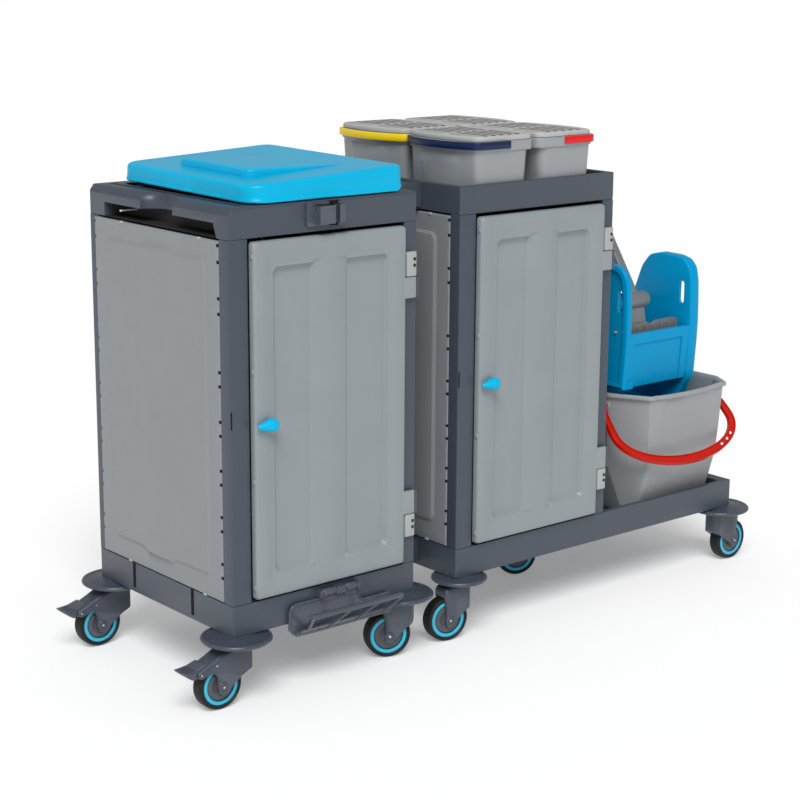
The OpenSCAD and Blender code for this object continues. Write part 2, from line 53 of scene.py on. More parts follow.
def material(name, col, rough=0.42, var=0.05, grain=1500.0, bump=0.10, spec=0.5, coat=0.0, edge_highlight=0.10,
             mottle=8.0, metal=0.0, spread=0.10, streak=None):
    m = bpy.data.materials.new(name)
    m.use_nodes = True
    N, L = m.node_tree.nodes, m.node_tree.links
    b = N["Principled BSDF"]
    b.inputs["Metallic"].default_value = metal
    b.inputs["Specular IOR Level"].default_value = spec
    b.inputs["Coat Weight"].default_value = coat
    b.inputs["Coat Roughness"].default_value = 0.22
    tc = N.new("ShaderNodeTexCoord")

    def noise(scale, detail, rough_=0.55, dist=0.0, stretch=None):
        n = N.new("ShaderNodeTexNoise")
        n.inputs["Scale"].default_value = scale
        n.inputs["Detail"].default_value = detail
        n.inputs["Roughness"].default_value = rough_
        n.inputs["Distortion"].default_value = dist
        src = tc.outputs["Object"]
        if stretch:
            mp = N.new("ShaderNodeMapping")
            mp.inputs["Scale"].default_value = stretch
            L.new(src, mp.inputs["Vector"])
            src = mp.outputs["Vector"]
        L.new(src, n.inputs["Vector"])
        return n

    big = noise(mottle, 4.0, dist=0.6)
    mid = noise(110.0, 3.0, stretch=streak)
    fine = noise(grain, 2.0, 0.6)
    base = lin(col)
    ramp = N.new("ShaderNodeValToRGB")
    ramp.color_ramp.elements[0].position = 0.30
    ramp.color_ramp.elements[1].position = 0.72
    ramp.color_ramp.elements[0].color = [x * (1 - var) for x in base] + [1]
    ramp.color_ramp.elements[1].color = [min(1, x * (1 + var)) for x in base] + [1]
    L.new(big.outputs["Fac"], ramp.inputs["Fac"])
    # fine moulded speckle
    spk = N.new("ShaderNodeMix")
    spk.data_type = "RGBA"
    spk.blend_type = "MULTIPLY"
    tone = N.new("ShaderNodeValToRGB")
    tone.color_ramp.elements[0].position = 0.35
    tone.color_ramp.elements[1].position = 0.65
    tone.color_ramp.elements[0].color = (0.985, 0.985, 0.985, 1)
    tone.color_ramp.elements[1].color = (1, 1, 1, 1)
    L.new(fine.outputs["Fac"], tone.inputs["Fac"])
    spk.inputs["Factor"].default_value = 0.8
    L.new(ramp.outputs["Color"], spk.inputs["A"])
    L.new(tone.outputs["Color"], spk.inputs["B"])
    # painted highlight: sharp convex edges (pointiness) are lightened, broken up by noise
    geo = N.new("ShaderNodeNewGeometry")
    edge = N.new("ShaderNodeMapRange")
    edge.inputs["From Min"].default_value = 0.515
    edge.inputs["From Max"].default_value = 0.60
    edge.inputs["To Min"].default_value = 0.0
    edge.inputs["To Max"].default_value = edge_highlight * 2.0
    L.new(geo.outputs["Pointiness"], edge.inputs["Value"])
    brk = N.new("ShaderNodeMath")
    brk.operation = "MULTIPLY"
    L.new(edge.outputs["Result"], brk.inputs[0])
    L.new(mid.outputs["Fac"], brk.inputs[1])
    mix_edge_highlight = N.new("ShaderNodeMix")
    mix_edge_highlight.data_type = "RGBA"
    light = [min(1.0, x * 1.25 + 0.10) for x in base]
    mix_edge_highlight.inputs["B"].default_value = light + [1]
    L.new(brk.outputs["Value"], mix_edge_highlight.inputs["Factor"])
    L.new(spk.outputs["Result"], mix_edge_highlight.inputs["A"])
    L.new(mix_edge_highlight.outputs["Result"], b.inputs["Base Color"])
    # gloss that drifts over the surface
    rr = N.new("ShaderNodeMapRange")
    rr.inputs["From Min"].default_value = 0.3
    rr.inputs["From Max"].default_value = 0.7
    rr.inputs["To Min"].default_value = max(0.04, rough - spread * 0.5)
    rr.inputs["To Max"].default_value = min(1.0, rough + spread * 0.5)
    L.new(mid.outputs["Fac"], rr.inputs["Value"])
    L.new(rr.outputs["Result"], b.inputs["Roughness"])
    # moulded grain
    hsum = N.new("ShaderNodeMath")
    hsum.operation = "MULTIPLY_ADD"
    hsum.inputs[1].default_value = 0.35
    L.new(mid.outputs["Fac"], hsum.inputs[0])
    L.new(fine.outputs["Fac"], hsum.inputs[2])
    bp = N.new("ShaderNodeBump")
    bp.inputs["Strength"].default_value = bump
    bp.inputs["Distance"].default_value = 0.0003
    L.new(hsum.outputs["Value"], bp.inputs["Height"])
    L.new(bp.outputs["Normal"], b.inputs["Normal"])
    m.diffuse_color = base + [1]
    return m


M_FRAME = material("slate_plastic", "#3d4551", rough=0.40, var=0.05, bump=0.08, edge_highlight=0.16)
# painted shade: dark stand-in for the shade inside slots, notches and the clip gap; also the dark screw heads
M_SHADE_SCREW_DARK = material("painted_shade_and_screw_dark", "#141517", rough=0.8, var=0.08, bump=0.10, spec=0.2, edge_highlight=0.0)
M_PANEL = material("panel_grey", "#878b8e", rough=0.42, var=0.03, bump=0.06, edge_highlight=0.12)
M_DOOR = material("door_grey", "#8a9295", rough=0.40, var=0.03, bump=0.06, edge_highlight=0.12)
M_BUCKET = material("bucket_grey", "#94989b", rough=0.34, var=0.03, bump=0.03, edge_highlight=0.10, spread=0.05)
M_LIDG = material("lid_grey", "#b2b3b1", rough=0.46, var=0.03, bump=0.03, spec=0.35, edge_highlight=0.08, spread=0.03)
# painted shade: dark floor for the grooves between lid ribs
M_LID_GROOVE_SHADE = material("lid_groove", "#3e3f3f", rough=0.9, var=0.06, bump=0.04, spec=0.03, edge_highlight=0.0)
M_CYAN = material("cyan_plastic", "#00b1dd", rough=0.30, var=0.03, grain=380.0, bump=0.004, spec=0.18, edge_highlight=0.0, spread=0.015)
M_BLUE = material("wringer_blue", "#0094c8", rough=0.30, var=0.03, grain=380.0, bump=0.004, spec=0.10, edge_highlight=0.0, spread=0.015)
M_RED = material("bail_red", "#c01a08", rough=0.32, var=0.08, bump=0.02, spec=0.2, edge_highlight=0.0)
M_BRED = material("band_red", "#de151b", rough=0.32, var=0.04, bump=0.03, spec=0.3, edge_highlight=0.0)
M_NAVY = material("band_navy", "#11254d", rough=0.36, var=0.05, bump=0.03, spec=0.3, edge_highlight=0.0)
M_YELLOW = material("band_yellow", "#ffd908", rough=0.36, var=0.03, bump=0.02, spec=0.3, edge_highlight=0.0)
M_GREEN = material("band_green", "#2c9440", rough=0.36, var=0.04, bump=0.04, edge_highlight=0.05)
M_LEVER = material("lever_grey", "#6f7275", rough=0.42, var=0.05, bump=0.06, edge_highlight=0.08)
M_LEAF = material("leaf_grey", "#a3a7a8", rough=0.36, var=0.04, bump=0.05, edge_highlight=0.12)
M_STEEL = material("screw_steel", "#6d6f71", rough=0.34, var=0.06, bump=0.05, edge_highlight=0.15, metal=1.0,
                   streak=(1.0, 9.0, 1.0))
M_BRIGHT = material("axle_steel", "#d9dadb", rough=0.22, var=0.05, bump=0.04, edge_highlight=0.1, metal=1.0)
M_TYRE = material("tyre_rubber", "#131313", rough=0.62, var=0.12, grain=900.0, bump=0.16, spec=0.35, edge_highlight=0.05)
M_RING = material("wheel_ring", "#2fb4d4", rough=0.34, var=0.05, bump=0.04, edge_highlight=0.05)
# painted shade: dark navy for the bands beside the cyan wheel ring
M_RING_EDGE_SHADE = material("wheel_rim_dark", "#0d3447", rough=0.42, var=0.08, bump=0.06, edge_highlight=0.05)
M_HUB = material("wheel_hub", "#4b4f54", rough=0.42, var=0.08, bump=0.10, edge_highlight=0.14)
M_FORK = material("fork_plastic", "#3f4652", rough=0.30, var=0.05, bump=0.05, edge_highlight=0.2)
M_ROD = material("rod_white", "#f4f4f2", rough=0.35, var=0.03, bump=0.03, edge_highlight=0.0)
# painted shade: dark lining for the inside of the hand recess
M_RECESS_SHADE = material("recess_painted_shade", "#2b2828", rough=0.65, var=0.08, bump=0.10, spec=0.3, edge_highlight=0.0)


# ------------------------------------------------------------------ mesh tools
class Mesh:
    def __init__(s):
        s.v, s.f, s.m = [], [], []

    def add(s, vf, mat=0, place=None):
        v, f = vf[0], vf[1]
        o = len(s.v)
        s.v += [place(p) for p in v] if place else [tuple(p) for p in v]
        s.f += [[i + o for i in q] for q in f]
        s.m += list(vf[2]) if len(vf) > 2 else [mat] * len(f)
        return s


def clean(me, weld=1e-5, dissolve=None):
    bm = bmesh.new()
    bm.from_mesh(me)
    bmesh.ops.remove_doubles(bm, verts=bm.verts, dist=weld)
    bmesh.ops.dissolve_degenerate(bm, dist=weld, edges=bm.edges)
    if dissolve:
        bmesh.ops.dissolve_limit(bm, angle_limit=math.radians(dissolve), verts=bm.verts, edges=bm.edges,
                                 delimit={"MATERIAL"})
    loose = [v for v in bm.verts if not v.link_faces]
    bmesh.ops.delete(bm, geom=loose, context="VERTS")
    bmesh.ops.recalc_face_normals(bm, faces=bm.faces)
    bm.to_mesh(me)
    bm.free()


def piece(name, mesh, mats, body, nodes=(), slot=None, bevel=0.0, seg=3, bang=32, sharp=32, sub=0, weld=1e-5,
          dissolve=None, metres=False):
    me = bpy.data.meshes.new(name)
    me.from_pydata([Vector(p) for p in mesh.v] if metres else [V(p) for p in mesh.v], [], mesh.f)
    for m in mats:
        me.materials.append(m)
    for p, i in zip(me.polygons, mesh.m):
        p.material_index = i
    clean(me, weld, dissolve)
    ob = bpy.data.objects.new(name, me)
    bpy.context.scene.collection.objects.link(ob)
    me.polygons.foreach_set("use_smooth", [True] * len(me.polygons))
    if bevel:
        b = ob.modifiers.new("edge", "BEVEL")
        b.width = bevel / 1000
        b.segments = seg
        b.limit_method = "ANGLE"
        b.angle_limit = math.radians(bang)
        b.harden_normals = True
        b.use_clamp_overlap = True
        b.miter_outer = "MITER_ARC"
    else:
        me.set_sharp_from_angle(angle=math.radians(sharp))
    if sub:
        s = ob.modifiers.new("round", "SUBSURF")
        s.levels = s.render_levels = sub
    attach(ob, body)
    if nodes:
        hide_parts(*nodes)
    return ob


def rrect(x0, y0, x1, y1, r, n=6):
    out = []
    for cx, cy, a0 in ((x1 - r, y1 - r, 0), (x0 + r, y1 - r, 90), (x0 + r, y0 + r, 180), (x1 - r, y0 + r, 270)):
        for i in range(n + 1):
            a = math.radians(a0 + 90 * i / n)
            out.append((cx + r * math.cos(a), cy + r * math.sin(a)))
    return out


def fillet(poly, r, n=5, keep=False):
    out, k = [], len(poly)
    for i in range(k):
        p0, p1, p2 = Vector(poly[i - 1]), Vector(poly[i]), Vector(poly[(i + 1) % k])
        ri = r[i] if isinstance(r, (list, tuple)) else r
        a, b = (p0 - p1), (p2 - p1)
        la, lb = a.length, b.length
        a.normalize()
        b.normalize()
        ang = math.acos(max(-1, min(1, a.dot(b))))
        if ri <= 0 or ang > math.radians(178):
            out += [tuple(p1)] * (n + 1 if keep else 1)
            continue
        t = min(ri / math.tan(ang / 2), la * 0.48, lb * 0.48)
        s, e = p1 + a * t, p1 + b * t
        rr = t * math.tan(ang / 2)
        c = p1 + (a + b).normalized() * (rr / math.sin(ang / 2))
        a0 = math.atan2(s[1] - c[1], s[0] - c[0])
        a1 = math.atan2(e[1] - c[1], e[0] - c[0])
        d = (a1 - a0 + math.pi) % (2 * math.pi) - math.pi
        for j in range(n + 1):
            q = a0 + d * j / n
            out.append((c[0] + rr * math.cos(q), c[1] + rr * math.sin(q)))
    return out


def loft(rings, cap0=True, cap1=True, close=True):
    n = len(rings[0])
    v = [tuple(p) for r in rings for p in r]
    f = []
    for k in range(len(rings) - 1):
        for i in range(n if close else n - 1):
            j = (i + 1) % n
            f.append([k * n + i, k * n + j, (k + 1) * n + j, (k + 1) * n + i])
    if cap0:
        f.append(list(range(n))[::-1])
    if cap1:
        f.append([(len(rings) - 1) * n + i for i in range(n)])
    return v, f


def prism(pts, axis, a, b):
    def at(p, h):
        return {"z": (p[0], p[1], h), "x": (h, p[0], p[1]), "y": (p[0], h, p[1])}[axis]
    return loft([[at(p, a) for p in pts], [at(p, b) for p in pts]])


def box(a, b):
    return prism([(a[0], a[1]), (b[0], a[1]), (b[0], b[1]), (a[0], b[1])], "z", a[2], b[2])


def rbox(a, b, r, n=3):
    r = min(r, (b[0] - a[0]) / 2.02, (b[1] - a[1]) / 2.02, (b[2] - a[2]) / 2.02)
    rings = []
    for side in (0, 1):
        for i in range(n + 1):
            t = math.pi / 2 * (i / n if side == 0 else 1 - i / n)
            ins, dz = r * (1 - math.sin(t)), r * (1 - math.cos(t))
            z = a[2] + dz if side == 0 else b[2] - dz
            rings.append([(x, y, z) for x, y in
                          rrect(a[0] + ins, a[1] + ins, b[0] - ins, b[1] - ins, max(r - ins, 0.02), n)])
    return loft(rings)


def revolve(prof, o, axis="z", n=32, mats=None):
    rings = []
    for r, h in prof:
        ring = []
        for i in range(n):
            a = 2 * math.pi * i / n
            c, s = max(r, 0.001) * math.cos(a), max(r, 0.001) * math.sin(a)
            ring.append({"z": (o[0] + c, o[1] + s, o[2] + h), "x": (o[0] + h, o[1] + c, o[2] + s),
                         "y": (o[0] + c, o[1] + h, o[2] + s)}[axis])
        rings.append(ring)
    v, f = loft(rings)
    if mats:
        mm = [mats[k] for k in range(len(prof) - 1) for _ in range(n)] + [mats[0], mats[-1]]
        return v, f, mm
    return v, f


def sweep(path, sect, up, closed=False):
    P = [Vector(p) for p in path]
    up = Vector(up)
    rings = []
    k = len(P)
    for i in range(k):
        t = (P[(i + 1) % k] - P[i - 1]) if closed or 0 < i < k - 1 else (P[1] - P[0] if i == 0 else P[-1] - P[-2])
        t.normalize()
        side = t.cross(up).normalized()
        u = side.cross(t).normalized()
        rings.append([tuple(P[i] + side * a + u * b) for a, b in (sect(i / (k - 1)) if callable(sect) else sect)])
    if closed:
        rings.append(rings[0])
        return loft(rings, False, False)
    return loft(rings)


def oval(a, b, n=16, p=2.0):
    out = []
    for i in range(n):
        t = 2 * math.pi * i / n
        c, s = math.cos(t), math.sin(t)
        out.append((a * math.copysign(abs(c) ** (2 / p), c), b * math.copysign(abs(s) ** (2 / p), s)))
    return out


def solid(base, ops):
    def tmp(vf):
        me = bpy.data.meshes.new("tmp")
        me.from_pydata([Vector(p) for p in vf[0]], [], vf[1])
        clean(me, 1e-4)
        o = bpy.data.objects.new("tmp", me)
        bpy.context.scene.collection.objects.link(o)
        return o
    a = tmp(base)
    others = []
    for kind, vf in ops:
        o = tmp(vf)
        m = a.modifiers.new("b", "BOOLEAN")
        m.operation = {"-": "DIFFERENCE", "+": "UNION", "&": "INTERSECT"}[kind]
        m.object = o
        m.solver = "EXACT"
        others.append(o)
    dg = bpy.context.evaluated_depsgraph_get()
    me = bpy.data.meshes.new_from_object(a.evaluated_get(dg))
    clean(me, 1e-3, 0.5)
    out = [tuple(v.co) for v in me.vertices], [list(p.vertices) for p in me.polygons]
    for o in [a] + others:
        d = o.data
        bpy.data.objects.remove(o)
        bpy.data.meshes.remove(d)
    bpy.data.meshes.remove(me)
    return out


def cad(node):
    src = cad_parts[node].data
    bm = bmesh.new()
    bm.from_mesh(src)
    bmesh.ops.remove_doubles(bm, verts=bm.verts, dist=2e-5)
    bmesh.ops.dissolve_limit(bm, angle_limit=math.radians(1.0), verts=bm.verts, edges=bm.edges)
    bm.verts.index_update()
    mm = Mesh()
    mm.v = [(v.co.x * 1000 + XC, v.co.y * 1000 + YC, v.co.z * 1000) for v in bm.verts]
    mm.f = [[v.index for v in q.verts] for q in bm.faces]
    mm.m = [0] * len(mm.f)
    bm.free()
    return mm


def lines(a, b, marks, step):
    pts = sorted({round(x, 3) for x in [a, b] + [m for m in marks if a < m < b]})
    out = [pts[0]]
    for p in pts[1:]:
        k = max(1, math.ceil((p - out[-1]) / step - 1e-6))
        s = out[-1]
        out += [s + (p - s) * i / k for i in range(1, k + 1)]
    return out


def span(a, b, step):
    k = max(1, round((b - a) / step))
    return [a + (b - a) * i / k for i in range(k + 1)]


def smooth(t):
    t = max(0.0, min(1.0, t))
    return t * t * (3 - 2 * t)


def sd_box(x, z, x0, z0, x1, z1, r):
    qx = abs(x - (x0 + x1) / 2) - (x1 - x0) / 2 + r
    qz = abs(z - (z0 + z1) / 2) - (z1 - z0) / 2 + r
    return math.hypot(max(qx, 0), max(qz, 0)) + min(max(qx, qz), 0) - r


def relief(ss, ts, front, back, P, pick=None):
    ns, nt = len(ss), len(ts)
    v = [P(s, t, front(s, t)) for t in ts for s in ss] + [P(s, t, back(s, t)) for t in ts for s in ss]
    f, m = [], []
    o = ns * nt
    for j in range(nt - 1):
        for i in range(ns - 1):
            a = j * ns + i
            f.append([a, a + 1, a + ns + 1, a + ns])
            m.append(pick((ss[i] + ss[i + 1]) / 2, (ts[j] + ts[j + 1]) / 2) if pick else 0)
            f.append([o + a, o + a + ns, o + a + ns + 1, o + a + 1])
            m.append(0)
    edge = [i for i in range(ns)] + [j * ns + ns - 1 for j in range(1, nt)] + \
           [(nt - 1) * ns + i for i in range(ns - 2, -1, -1)] + [j * ns for j in range(nt - 2, 0, -1)]
    for a, b in zip(edge, edge[1:] + edge[:1]):
        f.append([a, o + a, o + b, b])
        m.append(0)
    return v, f, m


# ------------------------------------------------------------------ bases, posts, tray
for nm, xg in (("waste_base", 0.0), ("store_base", X2)):
    mm = cad(nm)
    # painted shade: near-flush dark strips stand in for the shade inside the upright slots in the handle end
    for y in (144, 363):
        mm.add(box((xg - 0.15, y - 5.6, ZB + 10), (xg + 2.95, y + 5.6, ZT - 0.1)), 1)
    piece(nm + "_shell", mm, [M_FRAME, M_SHADE_SCREW_DARK], "frame", [nm], "frame_plastic", bevel=2.4)

mm = Mesh()
for x0, x1 in ((0, 46), (W - 33, W), (X2, X2 + 46), (XM - 33, XM)):
    for y0 in (0, D - 33):
        a, b = (x0, y0, ZT), (x1, y0 + 33, ZP)
        rings = []
        for z, ins in ((ZT, 1.4), (ZT + 1.4, 0.2), (ZT + 3, 0), (ZP - 3, 0), (ZP - 1.4, 0.2), (ZP, 1.4)):
            rings.append([(x, y, z) for x, y in rrect(x0 + ins, y0 + ins, x1 - ins, y0 + 33 - ins, 3.6, 5)])
        mm.add(loft(rings))
# painted shade: a thin dark block stands in for the shade in the keeper slot beside the knob
for x0 in (0.0, X2):
    mm.add(rbox((x0 + 1.2, -0.3, 568), (x0 + 4.2, 2.2, 603), 0.5, 2), 1)
piece("corner_post_set", mm, [M_FRAME, M_SHADE_SCREW_DARK], "frame", ["corner_posts"], "frame_plastic")

piece("store_tray_shell", cad("store_tray"), [M_FRAME], "frame", ["store_tray"], "frame_plastic", bevel=2.4)

# top frame of the waste module: push rail with a scooped middle and a hand recess
scoop = [(-20, 188), (1, 188.5), (12, 191.5), (26, 198), (34, 202), (37, 206), (38, 214), (38, 262), (37, 271), (34, 279), (29, 287),
         (22, 294), (13, 299.5), (4, 303), (-20, 305)]


def flare(z, e):
    # the back end of the hollow opens out towards the top
    return [(x, y + (e if y > 255 else 0), z) for x, y in scoop]


top = solid(prism(rrect(0, 0, W, D, 5, 5), "z", ZP, ZF), [
    ("-", prism(rrect(66, 42, W - 47, D - 42, 12, 5), "z", ZP - 1, ZF - 18)),
    ("-", prism(rrect(60, 36, W - 41, D - 36, 12, 5), "z", ZF - 18.5, ZF + 1)),
    ("-", prism([(38, ZP + 0.6), (49, ZP + 28.5), (441, ZP + 28.5), (441, ZP + 0.6)], "x", -4, 46)),
    ("-", loft([flare(ZP + 20, 0), flare(ZF - 18, 0.5), flare(ZF - 11, 2.5), flare(ZF - 5, 7), flare(ZF - 1, 13), flare(ZF + 3, 22)])),
    ("-", prism([(-3, ZF - 18.3), (-3, ZF + 5), (15.5, ZF + 5)], "y", -3, D + 3)),
    ("-", prism([(-3, ZF - 8), (-3, ZF + 5), (9, ZF + 5)], "x", -3, W + 3)),
    ("-", prism(rrect(39, 16, 48.5, D - 16, 3, 3), "z", ZF - 7, ZF + 3)),
])
mm = Mesh().add(top)
# painted shade: dark plates lining the inside of the hand recess stand in for the shade there
mm.add(box((44.8, 49, ZP + 1), (46.6, 440, ZP + 29)), 1)
for y0, y1 in ((52, 184), (308, 440.5)):
    mm.add(box((7, y0, ZP + 27.7), (45.5, y1, ZP + 29.2)), 1)
mm.add(box((1.2, 40, ZP + 0.3), (45.5, 440.8, ZP + 1.2)), 1)
# bag rod across the recess
mm.add(revolve([(0, 3), (1.8, 3), (1.8, 52), (0, 52)], (0, 385, 951), "x", 14), 2)
piece("waste_top_frame_shell", mm, [M_FRAME, M_RECESS_SHADE, M_ROD], "frame", ["waste_top_frame"], "frame_plastic", bevel=2.0,
      bang=38)


# ------------------------------------------------------------------ panels
NOTCH = (922, 890, 820, 790, 676, 648, 578, 550, 480, 452, 386, 357, 290, 261)


def panel(s0, s1, f0, f1, b0, b1, P, notched=True):
    z0, z1 = ZT + 2, ZP - 4
    marks = [s0 + 0.5, s0 + 1.2, s0 + 2.4, s0 + 5.5, s1 - 0.5, s1 - 1.2, s1 - 2.4, s1 - 5.5] + span(f0 - 8, f0 + 16, 3) + span(f1 - 16, f1 + 8, 3) \
        + [b0, b1] + span(b0, b0 + 12, 4) + span(b1 - 12, b1, 4)
    ss = lines(s0, s1, marks, 16)
    zm = [z0 + 1, z0 + 2.5, z1 - 1, z1 - 2.5] + span(250, 276, 3.25) + span(872, 898, 3.25)
    if notched:
        for n in NOTCH:
            zm += [n - 3.2, n - 2.9, n + 2.9, n + 3.2]
    ts = lines(z0, z1, zm, 30)

    def front(s, t):
        d = min(s - s0, s1 - s, t - z0, z1 - t)
        h = 0.0
        if d < 2.5:
            h -= 2.5 - math.sqrt(max(0, 2.5 ** 2 - (2.5 - d) ** 2))
        sd = min(sd_box(s, t, f0, 258, f1, 890, 16), sd_box(s, t, b0 - 4, 250, b1 + 4, 893, 14))
        up = smooth(-sd / 7 + 0.5)
        h += 4.2 * up
        if b0 <= s <= b1:
            q = (s - (b0 + b1) / 2) / ((b1 - b0) / 2)
            h += 3.4 * (1 - q * q) * up
        if notched and min(s - s0, s1 - s) < 5.4 and any(abs(t - n) < 3.0 for n in NOTCH):
            h -= 2.6
        return h

    def back(s, t):
        return -5.0

    # painted shade: notch faces also get the dark material, on top of the real 2.6 mm dip
    def pick(s, t):
        return 1 if notched and min(s - s0, s1 - s) < 5.6 and any(abs(t - n) < 3.1 for n in NOTCH) else 0
    return relief(ss, ts, front, back, P, pick)


for mod, xa, xb in (("waste", 0.0, W), ("store", X2, XM)):
    mm = Mesh()
    mm.add(panel(32, 480, 75, 430, 196, 306, lambda s, t, h: (xa - 1.0 - h, s, t)))
    mm.add(panel(32, 480, 75, 430, 196, 306, lambda s, t, h: (xb + 1.0 + h, s, t)))
    # small clips that hold the end panels, along the top and the bottom edge
    for z in (ZT + 3.5, ZP - 5.5):
        for y in (95, 374):
            mm.add(rbox((xa - 3.2, y - 5, z - 2.6), (xa + 1, y + 5, z + 2.6), 1.0, 2), 2)
            mm.add(rbox((xb - 1, y - 5, z - 2.6), (xb + 3.2, y + 5, z + 2.6), 1.0, 2), 2)
    mm.add(panel(xa + 47, xb - 34, xa + 90, xb - 74, xa + 190, xa + 300, lambda s, t, h: (s, D - 2.4 + h, t), False))
    piece(mod + "_panel_set", mm, [M_PANEL, M_SHADE_SCREW_DARK, M_LEAF], "frame", [mod + "_panels"], "panel_plastic", sharp=38)


# ------------------------------------------------------------------ bumpers
mm = Mesh()
CPOS = [(22, 22), (444, 22), (22, 478), (444, 478), (606, 22), (1474, 22), (606, 478), (1474, 478), (1036, 250)]
TRAIL = [48, 28, 48, 28, 28, 36, 28, 36, 28]
CTURN = [0, -22, 0, 14, -10, 180, 12, 150, -25]
for k, (x, y) in enumerate(CPOS):
    g = 0.85 if k in (4, 6) else 1.0
    if k in (4, 6):
        x += 8
    if k < 8:
        prof = [(6.4, -0.4), (30, -0.4), (33, -1.4), (57, -3.4), (60.5, -4.6), (62.5, -4.4), (65, -3.2), (68, -3.0), (70.6, -4.2),
                (72.3, -6.2), (72.9, -8.4), (72.2, -10.6), (70.4, -12.2), (67.4, -12.9), (63, -12.0), (58, -10.2), (34, -9.6),
                (31, -11.6), (28.5, -12.4), (6.4, -12.4)]
    else:
        prof = [(6.4, 0), (34.5, 0), (36, -1.5), (36, -10), (34, -12), (6.4, -12)]
    prof = prof + [prof[0]]
    rings = [[(x + g * r * math.cos(2 * math.pi * i / 56), y + g * r * math.sin(2 * math.pi * i / 56), ZB + h)
              for i in range(56)] for r, h in prof]
    mm.add(loft(rings, False, False))
piece("bumper_set", mm, [M_FORK], "frame", ["castor_bumpers"], "frame_plastic", sharp=50)

# ------------------------------------------------------------------ hinge leaves and screws
mm, ms = Mesh(), Mesh()
for px in (W - 6, XM - 6):
    for z0, z1 in ((823.4, 874), (271, 319.6)):
        mm.add(rbox((px - 28, -11.2, z0), (px - 3.0, -0.2, z1), 2.2))
        for q in ((z1 - 15), (z1 - 28)):
            ms.add(revolve([(0, -12.0), (1.2, -12.0), (1.5, -12.6), (2.9, -12.5), (3.4, -11.9), (3.5, -11.2), (1.7, -11),
                            (1.7, 4), (0, 5)], (px - 9.0, 0, q), "y", 20), 1)
            ms.add(rbox((px - 11.4, -12.75, q - 0.5), (px - 6.6, -12.45, q + 0.5), 0.1, 1), 0)
piece("hinge_leaf_set", mm, [M_LEAF], "frame", ["door_hinge_leaves"], "leaf_plastic")
piece("leaf_screw_set", ms, [M_STEEL, M_SHADE_SCREW_DARK], "frame", ["hinge_screws"], "screw_steel")

# ------------------------------------------------------------------ small frame parts
piece("lid_hinge_bracket_set", cad("lid_hinge_brackets"), [M_FRAME], "frame", ["lid_hinge_brackets"], "frame_plastic",
      bevel=0.8)
piece("bag_ring", cad("waste_bag_ring"), [M_FRAME], "frame", ["waste_bag_ring"], "frame_plastic", bevel=2.0)
piece("inner_shelf", cad("store_shelf"), [M_PANEL], "frame", ["store_shelf"], "panel_plastic", bevel=2.0)
piece("coupling_link_set", cad("coupling_links"), [M_FRAME], "frame", ["coupling_links"], "frame_plastic", bevel=1.8)
mm = cad("mop_clip_body")
# painted shade: faces round the jaw gap get the dark material
for i, q in enumerate(mm.f):
    c = [sum(mm.v[j][k] for j in q) / len(q) for k in (0, 1)]
    if math.hypot(c[0] - 241, c[1] + 17) < 11.6:
        mm.m[i] = 1
piece("clip_body", mm, [M_FORK, M_SHADE_SCREW_DARK], "frame", ["mop_clip_body"], "frame_plastic", bevel=1.2)
piece("clip_jaw_arm", cad("mop_clip_jaw"), [M_FORK], "clip_jaw", ["mop_clip_jaw"], "frame_plastic", bevel=1.4)
piece("holder_bracket", cad("tool_holder_bracket"), [M_FRAME], "frame", ["tool_holder_bracket"], "frame_plastic",
      bevel=1.4)


